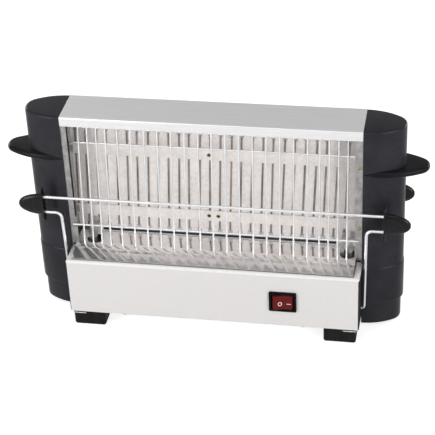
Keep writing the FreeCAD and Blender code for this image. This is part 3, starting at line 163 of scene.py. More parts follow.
class GripSizes(bpy.types.PropertyGroup):
    """Sizes of the moulded grips on the holders."""
    guard_start: FloatProperty(name="Guard place", description="Inner face of the guard from the middle",
                               default=166.3 * MM, unit="LENGTH")
    guard_thick: FloatProperty(name="Guard thickness", description="Thickness of the guard",
                               default=2.0 * MM, unit="LENGTH")
    guard_height: FloatProperty(name="Guard height", description="Height of the guard", default=38.5 * MM,
                                unit="LENGTH")
    guard_depth: FloatProperty(name="Guard depth", description="Depth of the guard", default=9.4 * MM,
                               unit="LENGTH")
    guard_round: FloatProperty(name="Guard edge", description="Radius of the guard's edges",
                               default=0.6 * MM, unit="LENGTH")
    guard_power: FloatProperty(name="Guard outline",
                               description="1 for an ellipse, less for a squarer guard", default=0.8)
    length: FloatProperty(name="Paddle length", description="Length of the paddle", default=23.6 * MM,
                          unit="LENGTH")
    height: FloatProperty(name="Paddle height", description="Height of the paddle", default=24.0 * MM,
                          unit="LENGTH")
    thick: FloatProperty(name="Paddle thickness", description="Thickness of the paddle", default=8.0 * MM,
                         unit="LENGTH")
    power: FloatProperty(name="Paddle section", description="1 for an ellipse, less for a squarer section",
                         default=0.9)
    height_power: FloatProperty(name="Paddle height fall",
                                description="1 for a round outline, less for a fuller one", default=0.92)
    thick_power: FloatProperty(name="Paddle thickness fall",
                               description="1 for a round tip, less for a fuller one", default=0.6)
    tip_share: FloatProperty(name="Paddle tip",
                             description="Height and thickness that stay at the very tip", default=0.02,
                             subtype="FACTOR")


class ElementSizes(bpy.types.PropertyGroup):
    """The heating card, its notches and its ribbon."""
    runs: IntProperty(name="Runs", description="Number of ribbon runs down the front of the card",
                      default=27)
    pitch: FloatProperty(name="Pitch", description="Mean spacing of the runs", default=10.27 * MM,
                         unit="LENGTH")
    first: FloatProperty(name="First run", description="Place of the first run at the card's top edge",
                         default=130.3 * MM, unit="LENGTH")
    ribbon_width: FloatProperty(name="Ribbon width", description="Width of the flat ribbon",
                                default=1.6 * MM, unit="LENGTH")
    ribbon_thick: FloatProperty(name="Ribbon thickness", description="Thickness of the flat ribbon",
                                default=0.35 * MM, unit="LENGTH")
    ribbon_gap: FloatProperty(name="Ribbon gap", description="Room between the card's faces and the ribbon",
                              default=0.25 * MM, unit="LENGTH")
    lead_in: FloatProperty(name="Ribbon ends",
                           description="Height over the lower notches where the ribbon ends",
                           default=9.0 * MM, unit="LENGTH")
    last_share: FloatProperty(name="Last step",
                              description="Sideways step of the last run, as a share of the pitch",
                              default=0.4, subtype="FACTOR")
    notch_width: FloatProperty(name="Notch width", description="Width of the notches in the card",
                               default=4.6 * MM, unit="LENGTH")
    notch_depth: FloatProperty(name="Notch depth", description="Depth of the notches in the card",
                               default=5.0 * MM, unit="LENGTH")
    unevenness: FloatProperty(name="Unevenness", description="How far a run strays from even spacing",
                              default=0.5 * MM, unit="LENGTH")
    unevenness_turn: FloatProperty(name="Unevenness turn",
                                   description="How the straying changes from run to run", default=2.4,
                                   subtype="ANGLE")


class CapSizes(bpy.types.PropertyGroup):
    """The moulded end caps and their carrying handles."""
    nose: FloatProperty(name="Nose", description="Nose radius against that of a true ellipse", default=1.15)
    reach: FloatProperty(name="Reach", description="From the body's end to the cap's nose",
                         default=39.1 * MM, unit="LENGTH")
    top_round: FloatProperty(name="Top round", description="Radius of the rounded top edge",
                             default=2.6 * MM, unit="LENGTH")
    band_low: FloatProperty(name="Band bottom", description="Height of the band's lower edge",
                            default=28.4 * MM, unit="LENGTH")
    band_high: FloatProperty(name="Band top", description="Height of the band's upper edge",
                             default=71.5 * MM, unit="LENGTH")
    band_swell: FloatProperty(name="Band swell", description="How far the band stands out",
                              default=0.7 * MM, unit="LENGTH")
    band_round: FloatProperty(name="Band round", description="Radius of the band's soft shoulders",
                              default=2.4 * MM, unit="LENGTH")
    skirt_inset: FloatProperty(name="Skirt inset", description="How far the skirt lies in",
                               default=1.5 * MM, unit="LENGTH")
    hem: FloatProperty(name="Hem", description="Radius of the skirt's lower edge", default=2.0 * MM,
                       unit="LENGTH")
    seat_gap: FloatProperty(name="Seat gap", description="From the body's end to the cap",
                            default=0.05 * MM, unit="LENGTH")
    handle_gap: FloatProperty(name="Handle gap", description="From the body's end to the handle",
                              default=0.1 * MM, unit="LENGTH")
    handle_height: FloatProperty(name="Handle height", description="Height of the middle of the handle",
                                 default=178.2 * MM, unit="LENGTH")
    handle_thick: FloatProperty(name="Handle thickness", description="Thickness of the handle",
                                default=6.5 * MM, unit="LENGTH")
    handle_round: FloatProperty(name="Handle round", description="Radius of the handle's edges",
                                default=2.9 * MM, unit="LENGTH")
    handle_out: FloatProperty(name="Handle centre", description="From the body's end to the oval's centre",
                              default=13.0 * MM, unit="LENGTH")


class BaseSizes(bpy.types.PropertyGroup):
    """The sheet metal base with its rolled rim."""
    corner: FloatProperty(name="Corner", description="Radius of the upright corners", default=2.2 * MM,
                          unit="LENGTH")
    wall: FloatProperty(name="Wall", description="Thickness of the sheet", default=0.6 * MM, unit="LENGTH")
    rim: FloatProperty(name="Rim", description="Depth of the rolled rim", default=3.4 * MM, unit="LENGTH")
    end_rim: FloatProperty(name="End rim", description="Depth of the rim at the two ends", default=5.7 * MM,
                           unit="LENGTH")
    roll: FloatProperty(name="Roll", description="Radius of the rim's outer edge", default=3.0 * MM,
                        unit="LENGTH")
    roll_end: FloatProperty(name="Roll end", description="Radius of the rim's inner edge", default=0.5 * MM,
                            unit="LENGTH")
    hem: FloatProperty(name="Hem", description="Bevel of the lower outer edge", default=0.3 * MM,
                       unit="LENGTH")
    flange: FloatProperty(name="Flange", description="Width of the flange turned in at the bottom",
                          default=8.0 * MM, unit="LENGTH")
    window_half_length: FloatProperty(name="Window half length",
                                      description="Half the length of the switch body", default=12.2 * MM,
                                      unit="LENGTH")
    window_half_height: FloatProperty(name="Window half height",
                                      description="Half the height of the switch body", default=9.9 * MM,
                                      unit="LENGTH")
    window_gap: FloatProperty(name="Window gap", description="Room round the switch in its window",
                              default=0.1 * MM, unit="LENGTH")
    frame_gap: FloatProperty(name="Frame gap", description="Room round the end frames in the rim",
                             default=0.1 * MM, unit="LENGTH")
    hook_hole: FloatProperty(name="Hook hole", description="Radius of the holes for the holders' hooks",
                             default=1.75 * MM, unit="LENGTH")
    bushing_hole: FloatProperty(name="Bushing hole", description="Radius of the hole in the rear wall",
                                default=4.6 * MM, unit="LENGTH")
    # The dark end walls are black painted as shade
    dark_depth: FloatProperty(name="Dark end depth", description="How far the dark end walls reach in",
                              default=1.0 * MM, unit="LENGTH")
    tab_length: FloatProperty(name="Foot tab length",
                              description="Length of the tab that shows over a foot", default=13.0 * MM,
                              unit="LENGTH")
    tab_thick: FloatProperty(name="Foot tab thickness", description="Thickness of the tab over a foot",
                             default=1.1 * MM, unit="LENGTH")
    tab_drop: FloatProperty(name="Foot tab drop", description="From the top of a foot to its tab",
                            default=1.8 * MM, unit="LENGTH")
    tab_out: FloatProperty(name="Foot tab end", description="How far the tab stands out at the foot's end",
                           default=0.3 * MM, unit="LENGTH")
    tab_front: FloatProperty(name="Foot tab front",
                             description="How far the tab stands out of the foot's face", default=0.35 * MM,
                             unit="LENGTH")
    tab_depth: FloatProperty(name="Foot tab depth", description="How far the tab reaches into the foot",
                             default=3.0 * MM, unit="LENGTH")
    tab_corner: FloatProperty(name="Foot tab corner", description="Radius of the tab's corners",
                              default=0.8 * MM, unit="LENGTH")
    tab_edge: FloatProperty(name="Foot tab edge", description="Bevel of the tab's edges", default=0.15 * MM,
                            unit="LENGTH")


class PlateSizes(bpy.types.PropertyGroup):
    """The polished plate under the heating card."""
    sheet: FloatProperty(name="Sheet", description="Thickness of the sheet", default=0.8 * MM,
                         unit="LENGTH")
    flat: FloatProperty(name="Flat half", description="From the middle plane to where the fall begins",
                        default=30.5 * MM, unit="LENGTH")
    fall: FloatProperty(name="Fall", description="How far the outer edges lie below the middle",
                        default=5.7 * MM, unit="LENGTH")
    bend: FloatProperty(name="Bend", description="Radius of the soft bend where the fall begins",
                        default=30.0 * MM, unit="LENGTH")
    fold: FloatProperty(name="Fold", description="Radius of the fold down behind the rim", default=1.4 * MM,
                        unit="LENGTH")
    tab_hole: FloatProperty(name="Tab hole", description="Radius of the round holes for the terminal tabs",
                            default=8.0 * MM, unit="LENGTH")
    tab_hole_back: FloatProperty(name="Tab hole place", description="Round holes from the middle plane",
                                 default=18.6 * MM, unit="LENGTH")
    right_step: FloatProperty(name="Right step", description="Right hole from the outer edge of its tabs",
                              default=4.2 * MM, unit="LENGTH")
    left_step: FloatProperty(name="Left step", description="Left hole from the outer edge of its tabs",
                             default=6.2 * MM, unit="LENGTH")
    # From this lean on, the plate's edge is dull and painted dark as a shadow line
    edge_lean: FloatProperty(name="Edge lean",
                             description="Lean of the surface from which the edge is dull", default=0.56)
    card_slot: FloatProperty(name="Card slot", description="Width of the slot under the card",
                             default=4.0 * MM, unit="LENGTH")
    slot_inset: FloatProperty(name="Slot inset",
                              description="From the body's end to the slot under the card",
                              default=27.0 * MM, unit="LENGTH")


class RockerSizes(bpy.types.PropertyGroup):
    """The rocker of the switch and its marks."""
    length: FloatProperty(name="Length", description="Length of the rocker", default=21.0 * MM,
                          unit="LENGTH")
    height: FloatProperty(name="Height", description="Height of the rocker", default=15.9 * MM,
                          unit="LENGTH")
    face: FloatProperty(name="Face", description="Rocker's two ridges from its pivot", default=5.0 * MM,
                        unit="LENGTH")
    dish: FloatProperty(name="Dish", description="Depth of the face between the ridges", default=1.4 * MM,
                        unit="LENGTH")
    dish_power: FloatProperty(name="Dish power", description="1 for straight slopes, more for hollow ones",
                              default=1.3)
    ridge: FloatProperty(name="Ridge place", description="Ridges from the rocker's middle",
                         default=8.0 * MM, unit="LENGTH")
    back: FloatProperty(name="Back", description="Half the length of the rocker's back", default=2.4 * MM,
                        unit="LENGTH")
    throw: FloatProperty(name="Throw", description="Tilt of the rocker at rest", default=math.radians(8),
                         subtype="ANGLE")
    edge_round: FloatProperty(name="Edge round", description="Rounding of the rocker's edges",
                              default=0.5 * MM, unit="LENGTH")
    off_place: FloatProperty(name="Off mark place", description="Ring mark from the rocker's middle",
                             default=-3.0 * MM, unit="LENGTH")
    on_place: FloatProperty(name="On mark place", description="Bar mark from the rocker's middle",
                            default=5.6 * MM, unit="LENGTH")
    mark_line: FloatProperty(name="Mark line", description="Line width of the marks", default=0.75 * MM,
                             unit="LENGTH")
    mark_drop: FloatProperty(name="Mark drop", description="Marks below the rocker's middle",
                             default=1.4 * MM, unit="LENGTH")
    mark_size: FloatProperty(name="Mark size", description="Radius of the ring mark's middle line",
                             default=1.75 * MM, unit="LENGTH")
    mark_stretch: FloatProperty(name="Mark stretch",
                                description="Height of the ring mark against its width", default=1.15)
    bar_half: FloatProperty(name="Bar mark", description="Half the length of the bar mark",
                            default=2.1 * MM, unit="LENGTH")
    mark_lift: FloatProperty(name="Mark lift", description="Marks above the rocker's face",
                             default=0.04 * MM, unit="LENGTH")


class FastenerSizes(bpy.types.PropertyGroup):
    """Brass screws in the flanges and eyelets in the card's strips."""
    head: FloatProperty(name="Screw head", description="Radius of a screw head", default=1.9 * MM,
                        unit="LENGTH")
    head_height: FloatProperty(name="Head height", description="Height of a screw head", default=1.4 * MM,
                               unit="LENGTH")
    low_turn: FloatProperty(name="Lower slots", description="Turn of the lower screws' slots", default=0.5,
                            subtype="ANGLE")
    high_turn: FloatProperty(name="Upper slots", description="Turn of the upper screws' slots", default=1.1,
                             subtype="ANGLE")
    slot_width: FloatProperty(name="Slot width", description="Slot's width against the head's radius",
                              default=0.32, subtype="FACTOR")
    slot_depth: FloatProperty(name="Slot depth", description="Slot's depth against the head's height",
                              default=0.45, subtype="FACTOR")
    upper_eyelet: FloatProperty(name="Upper eyelet",
                                description="Eyelet of the upper strip from the middle", default=-5.0 * MM,
                                unit="LENGTH")
    left_rivet: FloatProperty(name="Left rivet",
                              description="Left rivet of the lower strip from the middle",
                              default=-8.0 * MM, unit="LENGTH")
    right_rivet: FloatProperty(name="Right rivet",
                               description="Right rivet of the lower strip from the middle",
                               default=1.2 * MM, unit="LENGTH")
    eyelet: FloatProperty(name="Eyelet", description="Outer radius of an eyelet", default=2.1 * MM,
                          unit="LENGTH")
    eyelet_inner: FloatProperty(name="Eyelet's roll", description="Inner radius of an eyelet's roll",
                                default=1.1 * MM, unit="LENGTH")
    eyelet_height: FloatProperty(name="Eyelet height", description="Height of an eyelet's roll",
                                 default=0.5 * MM, unit="LENGTH")
    # The dark bore is a disc painted black as shade
    bore: FloatProperty(name="Bore", description="Radius of an eyelet's dark bore", default=1.3 * MM,
                        unit="LENGTH")
    bore_face: FloatProperty(name="Bore face", description="Radius of the bore's face", default=1.2 * MM,
                             unit="LENGTH")
    bore_height: FloatProperty(name="Bore height", description="From the strip to the bore's face",
                               default=0.12 * MM, unit="LENGTH")


class FinishColours(bpy.types.PropertyGroup):
    """Colours of the finishes, as linear values."""
    enamel: FloatVectorProperty(name="Enamel", description="Lacquered base", size=3, subtype="COLOR",
                                default=(0.80, 0.777, 0.763))
    satin: FloatVectorProperty(name="Satin steel", description="Top cover", size=3, subtype="COLOR",
                               default=(0.88, 0.87, 0.88))
    zinc: FloatVectorProperty(name="Zinc steel", description="Plated sheet", size=3, subtype="COLOR",
                              default=(0.58, 0.57, 0.56))
    cap: FloatVectorProperty(name="End cap", description="Moulded end caps", size=3, subtype="COLOR",
                             default=(0.0255, 0.0243, 0.0303))
    mica: FloatVectorProperty(name="Mica", description="Card and strips", size=3, subtype="COLOR",
                              default=(0.855, 0.80, 0.77))
    ribbon: FloatVectorProperty(name="Ribbon", description="Heating ribbon", size=3, subtype="COLOR",
                                default=(0.25, 0.225, 0.21))
    brass: FloatVectorProperty(name="Brass", description="Screws, rivets and eyelets", size=3,
                               subtype="COLOR", default=(0.38, 0.29, 0.16))
    chrome: FloatVectorProperty(name="Chrome", description="Plated wires", size=3, subtype="COLOR",
                                default=(0.82, 0.82, 0.84))
    plate: FloatVectorProperty(name="Plate", description="Polished plate", size=3, subtype="COLOR",
                               default=(0.86, 0.85, 0.85))
    grip: FloatVectorProperty(name="Grip", description="Grips of the holders", size=3, subtype="COLOR",
                              default=(0.006, 0.006, 0.007))
    switch: FloatVectorProperty(name="Switch", description="Body of the switch", size=3, subtype="COLOR",
                                default=(0.005, 0.005, 0.005))
    foot: FloatVectorProperty(name="Foot", description="Feet and small black mouldings", size=3,
                              subtype="COLOR", default=(0.008, 0.0075, 0.0078))
    sleeve: FloatVectorProperty(name="Sleeve", description="Sleeve of the leads", size=3, subtype="COLOR",
                                default=(0.72, 0.69, 0.62))
    rocker: FloatVectorProperty(name="Rocker", description="Rocker of the switch", size=3, subtype="COLOR",
                                default=(0.125, 0.004, 0.005))
    mark: FloatVectorProperty(name="Marks", description="Marks on the rocker", size=3, subtype="COLOR",
                              default=(0.95, 0.80, 0.78))


class StudioSettings(bpy.types.PropertyGroup):
    """Camera and lamps."""
    camera_place: FloatVectorProperty(name="Camera place", description="Where the camera stands", size=3,
                                      subtype="TRANSLATION", default=(0.244926, -1.227815, 0.924540))
    azimuth: FloatProperty(name="Azimuth", description="Camera's turn about the upright axis",
                           default=math.radians(11.2856), subtype="ANGLE")
    elevation: FloatProperty(name="Elevation", description="How far the camera looks down",
                             default=math.radians(33.1818), subtype="ANGLE")
    roll: FloatProperty(name="Roll", description="Camera's turn about its line of sight",
                        default=math.radians(-2.8089), subtype="ANGLE")
    lens: FloatProperty(name="Lens", description="Focal length in millimetres", default=124.96)
    key_power: FloatProperty(name="Key lamp", description="Power of the lamp at the left", default=9.5,
                             unit="POWER")
    fill_power: FloatProperty(name="Fill lamp", description="Power of the lamp at the right", default=8.2,
                              unit="POWER")
    rear_power: FloatProperty(name="Rear lamps", description="Power of each of the two lamps behind",
                              default=9.0, unit="POWER")
    strip_power: FloatProperty(name="Strip lamp", description="Power of the long lamp above the front",
                               default=6.6, unit="POWER")
    floor_level: FloatProperty(name="Floor level", description="How pale the floor is", default=0.66,
                               subtype="FACTOR")
    floor_glow: FloatProperty(name="Floor glow",
                              description="Light that brings the floor to white for the camera",
                              default=0.74)
    world_level: FloatProperty(name="World level", description="Light from all round", default=0.16)
    mirror_share: FloatProperty(name="Mirror share",
                                description="How much of the white background metal shows", default=0.45,
                                subtype="FACTOR")


# Materials

def new_finish(name, roughness, metallic=0.0):
    """Material with an empty tree but for a Principled shader, and the tools to add nodes to it."""
    material = bpy.data.materials.new(name)
    material.use_nodes = True
    tree = material.node_tree
    shader = tree.nodes["Principled BSDF"]
    shader.inputs["Roughness"].default_value = roughness
    shader.inputs["Metallic"].default_value = metallic
    return material, tree, shader


def noise(tree, scale, detail=4.0, stretch=(1, 1, 1)):
    """Noise in the object's own space, drawn out along an axis where stretch is small."""
    place = tree.nodes.new("ShaderNodeTexCoord")
    mapping = tree.nodes.new("ShaderNodeMapping")
    mapping.inputs["Scale"].default_value = stretch
    texture = tree.nodes.new("ShaderNodeTexNoise")
    texture.inputs["Scale"].default_value = scale
    texture.inputs["Detail"].default_value = detail
    tree.links.new(place.outputs["Object"], mapping.inputs["Vector"])
    tree.links.new(mapping.outputs["Vector"], texture.inputs["Vector"])
    return texture.outputs["Fac"]


def ramp(tree, factor, stops):
    """Colour ramp with stops given as (place, colour)."""
    node = tree.nodes.new("ShaderNodeValToRGB")
    while len(node.color_ramp.elements) < len(stops):
        node.color_ramp.elements.new(0.5)
    for element, (place, colour) in zip(node.color_ramp.elements, stops):
        element.position = place
        element.color = (*colour, 1)
    tree.links.new(factor, node.inputs["Fac"])
    return node.outputs["Color"]


def shade(colour, factor):
    """Colour made lighter or darker, and white at most."""
    return tuple(min(1.0, value * factor) for value in colour)


def tint(tree, shader, factor, colour, low, high):
    """Colour that wanders between two shades."""
    mixed = ramp(tree, factor, [(TINT_FROM, shade(colour, low)), (TINT_TO, shade(colour, high))])
    tree.links.new(mixed, shader.inputs["Base Color"])


def wander(tree, shader, factor, low, high):
    """Roughness that wanders between two levels."""
    node = tree.nodes.new("ShaderNodeMapRange")
    node.inputs["From Min"].default_value = WANDER_FROM
    node.inputs["From Max"].default_value = WANDER_TO
    node.inputs["To Min"].default_value = low
    node.inputs["To Max"].default_value = high
    tree.links.new(factor, node.inputs["Value"])
    tree.links.new(node.outputs["Result"], shader.inputs["Roughness"])


def relief(tree, shader, factor, strength, depth):
    """Fine relief of the surface."""
    bump = tree.nodes.new("ShaderNodeBump")
    bump.inputs["Strength"].default_value = strength
    bump.inputs["Distance"].default_value = depth
    tree.links.new(factor, bump.inputs["Height"])
    tree.links.new(bump.outputs["Normal"], shader.inputs["Normal"])


def make_enamel(colours):
    """White enamel under a clear glossy coat."""
    material, tree, shader = new_finish("base_enamel", 0.34)
    tint(tree, shader, noise(tree, 420, detail=3), colours.enamel, low=0.985, high=1.01)
    wander(tree, shader, noise(tree, 90), low=0.3, high=0.38)
    relief(tree, shader, noise(tree, 900, detail=2), strength=0.1, depth=0.05 * MM)
    shader.inputs["Coat Weight"].default_value = 1.0
    shader.inputs["Coat Roughness"].default_value = 0.12
    return material


def make_rim_painted_highlight(colours):
    """Whiter enamel over the rolled rim, as a painted highlight."""
    material, tree, shader = new_finish("rim_enamel", 0.3)
    tint(tree, shader, noise(tree, 420, detail=3), shade(colours.enamel, 1.16), low=0.985, high=1.01)
    wander(tree, shader, noise(tree, 90), low=0.26, high=0.34)
    shader.inputs["Coat Weight"].default_value = 1.0
    shader.inputs["Coat Roughness"].default_value = 0.3
    return material


def make_painted_shade_black(colours):
    """Matt black as painted shade, for the base's end walls and the eyelets' bores."""
    material, tree, shader = new_finish("end_black", 0.5)
    tint(tree, shader, noise(tree, 60, detail=5), shade(colours.cap, 0.35), low=0.8, high=1.25)
    wander(tree, shader, noise(tree, 120, detail=5), low=0.45, high=0.6)
    relief(tree, shader, noise(tree, 2000, detail=3), strength=0.2, depth=0.05 * MM)
    shader.inputs["Specular IOR Level"].default_value = 0.12
    return material


def make_satin_steel(colours):
    """Brushed steel, with strokes along the top cover."""
    material, tree, shader = new_finish("satin_steel", 0.36, 0.6)
    strokes = noise(tree, 1600, detail=6, stretch=(0.015, 1, 1))
    tint(tree, shader, strokes, colours.satin, low=0.95, high=1.04)
    wander(tree, shader, noise(tree, 500, detail=5, stretch=(0.03, 1, 1)), low=0.36, high=0.46)
    relief(tree, shader, strokes, strength=0.05, depth=0.05 * MM)
    return material


def make_polished_plate(colours):
    """Polished sheet, a little wavy and wiped."""
    material, tree, shader = new_finish("polished_plate", 0.08, 1.0)
    tint(tree, shader, noise(tree, 18, detail=3), colours.plate, low=0.93, high=1.05)
    wander(tree, shader, noise(tree, 40, detail=6, stretch=(0.25, 1, 1)), low=0.05, high=0.14)
    relief(tree, shader, noise(tree, 30, detail=2), strength=0.05, depth=0.3 * MM)
    return material


def make_plate_painted_shade(colours):
    """Polished plate made dull at the fold behind the rim, and darkened there as a painted shadow line."""
    material, tree, shader = new_finish("plate_edge", 0.45, 1.0)
    strokes = noise(tree, 300, detail=5, stretch=(0.05, 1, 1))
    tint(tree, shader, strokes, shade(colours.plate, 0.2), low=0.85, high=1.1)
    wander(tree, shader, noise(tree, 200, detail=5, stretch=(0.1, 1, 1)), low=0.4, high=0.55)
    relief(tree, shader, noise(tree, 700, detail=3, stretch=(0.05, 1, 1)), strength=0.1, depth=0.05 * MM)
    return material


def make_zinc_steel(colours):
    """Plated sheet of the small metal parts."""
    material, tree, shader = new_finish("zinc_steel", 0.35, 0.85)
    tint(tree, shader, noise(tree, 160, detail=5), colours.zinc, low=0.86, high=1.08)
    wander(tree, shader, noise(tree, 220, detail=4), low=0.28, high=0.45)
    relief(tree, shader, noise(tree, 600, detail=3), strength=0.1, depth=0.05 * MM)
    return material


def make_frame_steel(colours):
    """Zinc steel, mottled by heat, with a painted shadow along the slit at the inner edge of two of the four
    flanges.
    """
    material, tree, shader = new_finish("frame_steel", 0.4, 0.55)
    place = tree.nodes.new("ShaderNodeTexCoord")
    axes = tree.nodes.new("ShaderNodeSeparateXYZ")
    tree.links.new(place.outputs["Object"], axes.inputs["Vector"])

    def maths(operation, first, second):
        """Result of a calculation on two sockets or numbers."""
        node = tree.nodes.new("ShaderNodeMath")
        node.operation = operation
        for socket, value in zip(node.inputs, (first, second)):
            if isinstance(value, float):
                socket.default_value = value
            else:
                tree.links.new(value, socket)
        return node.outputs["Value"]

    def between(value, low, high):
        """1 where a value lies between two numbers, else 0."""
        return maths("MULTIPLY", maths("GREATER_THAN", value, low), maths("LESS_THAN", value, high))

    x, y, z = axes.outputs
    # Mask of the painted shadow along the slit at a flange's inner edge
    joint = maths("MULTIPLY", between(maths("ABSOLUTE", x, 0.0), *SLIT_SHADE_BAND), between(z, *SLIT_SHADE_HEIGHTS))
    joint = maths("MULTIPLY", joint, maths("GREATER_THAN", maths("MULTIPLY", x, y), 0.0))
    stops = [(at, shade(colours.zinc, level)) for at, level in ((0.3, 0.45), (0.5, 0.62), (0.7, 0.78))]
    plain = ramp(tree, noise(tree, 150, detail=6), stops)
    mix = tree.nodes.new("ShaderNodeMix")
    mix.data_type = "RGBA"
    mix.inputs["B"].default_value = (*SLIT_SHADE_COLOUR, 1)
    tree.links.new(joint, mix.inputs["Factor"])
    tree.links.new(plain, mix.inputs["A"])
    tree.links.new(mix.outputs["Result"], shader.inputs["Base Color"])
    wander(tree, shader, noise(tree, 220, detail=4), low=0.3, high=0.5)
    relief(tree, shader, noise(tree, 240, detail=4), strength=0.15, depth=0.1 * MM)
    return material


def make_cap_plastic(colours, name="black_cap", depth=1.0, gloss=0.14):
    """Moulded black, as deep and as glossy as asked."""
    material, tree, shader = new_finish(name, 0.3)
    tint(tree, shader, noise(tree, 40, detail=5), shade(colours.cap, depth), low=0.85, high=1.2)
    wander(tree, shader, noise(tree, 90, detail=5), low=0.25, high=0.34)
    relief(tree, shader, noise(tree, 2200, detail=3), strength=0.15, depth=0.04 * MM)
    shader.inputs["Specular IOR Level"].default_value = gloss
    return material


def make_mica(colours):
    """Pressed flakes with a cloudy colour."""
    material, tree, shader = new_finish("mica", 0.42)
    flakes = tree.nodes.new("ShaderNodeTexVoronoi")
    flakes.inputs["Scale"].default_value = 260
    place = tree.nodes.new("ShaderNodeTexCoord")
    tree.links.new(place.outputs["Object"], flakes.inputs["Vector"])
    spread = tree.nodes.new("ShaderNodeMix")
    spread.data_type = "FLOAT"
    spread.inputs["Factor"].default_value = 0.35
    tree.links.new(noise(tree, 28, detail=6), spread.inputs["A"])
    tree.links.new(flakes.outputs["Distance"], spread.inputs["B"])
    stops = [(at, shade(colours.mica, level)) for at, level in ((0.2, 0.84), (0.5, 1.0), (0.75, 1.09))]
    tree.links.new(ramp(tree, spread.outputs["Result"], stops), shader.inputs["Base Color"])
    wander(tree, shader, noise(tree, 120, detail=4), low=0.34, high=0.55)
    relief(tree, shader, flakes.outputs["Distance"], strength=0.15, depth=0.1 * MM)
    return material


def make_heating_alloy(colours):
    """Rolled ribbon, dull from heat."""
    material, tree, shader = new_finish("heating_alloy", 0.5, 0.7)
    tint(tree, shader, noise(tree, 140, detail=6, stretch=(1, 1, 0.3)), colours.ribbon, low=0.7, high=1.5)
    wander(tree, shader, noise(tree, 300, detail=4), low=0.42, high=0.62)
    relief(tree, shader, noise(tree, 900, detail=3, stretch=(1, 1, 0.1)), strength=0.2, depth=0.05 * MM)
    return material


def make_brass(colours):
    """Brass, a little tarnished."""
    material, tree, shader = new_finish("brass", 0.25, 1.0)
    tint(tree, shader, noise(tree, 500, detail=5), colours.brass, low=0.75, high=1.1)
    wander(tree, shader, noise(tree, 400, detail=5), low=0.25, high=0.45)
    relief(tree, shader, noise(tree, 1500, detail=3), strength=0.15, depth=0.04 * MM)
    return material


def make_chrome(colours):
    """Plated wire with a satin shine."""
    material, tree, shader = new_finish("chrome_wire", 0.4, 1.0)
    tint(tree, shader, noise(tree, 60, detail=4), colours.chrome, low=0.94, high=1.05)
    wander(tree, shader, noise(tree, 120, detail=4), low=0.36, high=0.44)
    relief(tree, shader, noise(tree, 400, detail=3), strength=0.02, depth=0.01 * MM)
    return material


def make_grip_gloss(colours):
    """Glossy black of the holders' grips."""
    material, tree, shader = new_finish("gloss_grip", 0.22)
    tint(tree, shader, noise(tree, 120, detail=5), colours.grip, low=0.7, high=1.4)
    wander(tree, shader, noise(tree, 150, detail=5), low=0.18, high=0.3)
    relief(tree, shader, noise(tree, 300, detail=3), strength=0.04, depth=0.1 * MM)
    shader.inputs["Specular IOR Level"].default_value = 0.22
    return material


def make_switch_black(colours):
    """Black of the switch body."""
    material, tree, shader = new_finish("switch_black", 0.34)
    tint(tree, shader, noise(tree, 200, detail=5), colours.switch, low=0.7, high=1.4)
    wander(tree, shader, noise(tree, 250, detail=4), low=0.42, high=0.55)
    relief(tree, shader, noise(tree, 1800, detail=2), strength=0.15, depth=0.05 * MM)
    shader.inputs["Specular IOR Level"].default_value = 0.06
    return material


def make_switch_red(colours):
    """Moulded red of the rocker."""
    material, tree, shader = new_finish("switch_red", 0.3)
    tint(tree, shader, noise(tree, 180, detail=5), colours.rocker, low=0.85, high=1.12)
    wander(tree, shader, noise(tree, 300, detail=4), low=0.26, high=0.38)
    relief(tree, shader, noise(tree, 1500, detail=2), strength=0.1, depth=0.05 * MM)
    shader.inputs["Specular IOR Level"].default_value = 0.2
    return material


def make_mark_paint(colours):
    """Pale paint of the marks."""
    material, tree, shader = new_finish("mark_paint", 0.5)
    tint(tree, shader, noise(tree, 900, detail=4), colours.mark, low=0.9, high=1.05)
    relief(tree, shader, noise(tree, 2500, detail=2), strength=0.2, depth=0.03 * MM)
    return material


def make_foot_black(colours):
    """Dull moulded feet."""
    material, tree, shader = new_finish("foot_black", 0.6)
    tint(tree, shader, noise(tree, 150, detail=5), colours.foot, low=0.7, high=1.5)
    wander(tree, shader, noise(tree, 200, detail=5), low=0.5, high=0.7)
    relief(tree, shader, noise(tree, 1600, detail=3), strength=0.3, depth=0.1 * MM)
    shader.inputs["Specular IOR Level"].default_value = 0.15
    return material


def make_lead_sleeve(colours):
    """Braided sleeve of the leads inside the base."""
    material, tree, shader = new_finish("lead_sleeve", 0.8)
    braid = noise(tree, 1400, detail=3, stretch=(1, 1, 0.4))
    tint(tree, shader, braid, colours.sleeve, low=0.75, high=1.1)
    relief(tree, shader, braid, strength=0.5, depth=0.3 * MM)
    return material


FINISHES = {}


def make_finishes(colours):
    """Every finish: the record's slots by their names, and copies of them for single pieces or faces, some of
    which paint light or shade.
    """
    FINISHES.update({
        "base_enamel": make_enamel(colours),
        "end_black": make_painted_shade_black(colours),
        "rim_enamel": make_rim_painted_highlight(colours),
        "satin_steel": make_satin_steel(colours),
        "polished_plate": make_polished_plate(colours),
        "plate_edge": make_plate_painted_shade(colours),
        "zinc_steel": make_zinc_steel(colours),
        "frame_steel": make_frame_steel(colours),
        "black_cap": make_cap_plastic(colours),
        # A darker copy of the cap black paints shade on the handles
        "black_handle": make_cap_plastic(colours, "black_handle", 0.45, 0.09),
        "mica": make_mica(colours),
        "heating_alloy": make_heating_alloy(colours),
        "brass": make_brass(colours),
        "chrome_wire": make_chrome(colours),
        "gloss_grip": make_grip_gloss(colours),
        "switch_black": make_switch_black(colours),
        "switch_red": make_switch_red(colours),
        "mark_paint": make_mark_paint(colours),
        "foot_black": make_foot_black(colours),
        "lead_sleeve": make_lead_sleeve(colours),
    })


# Shapes

def place_piece(piece, body, slot, finish=None):
    """Give a new piece its finish and its body."""
    piece.data.materials.append(FINISHES[finish or slot])
    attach(piece, body)
    return piece


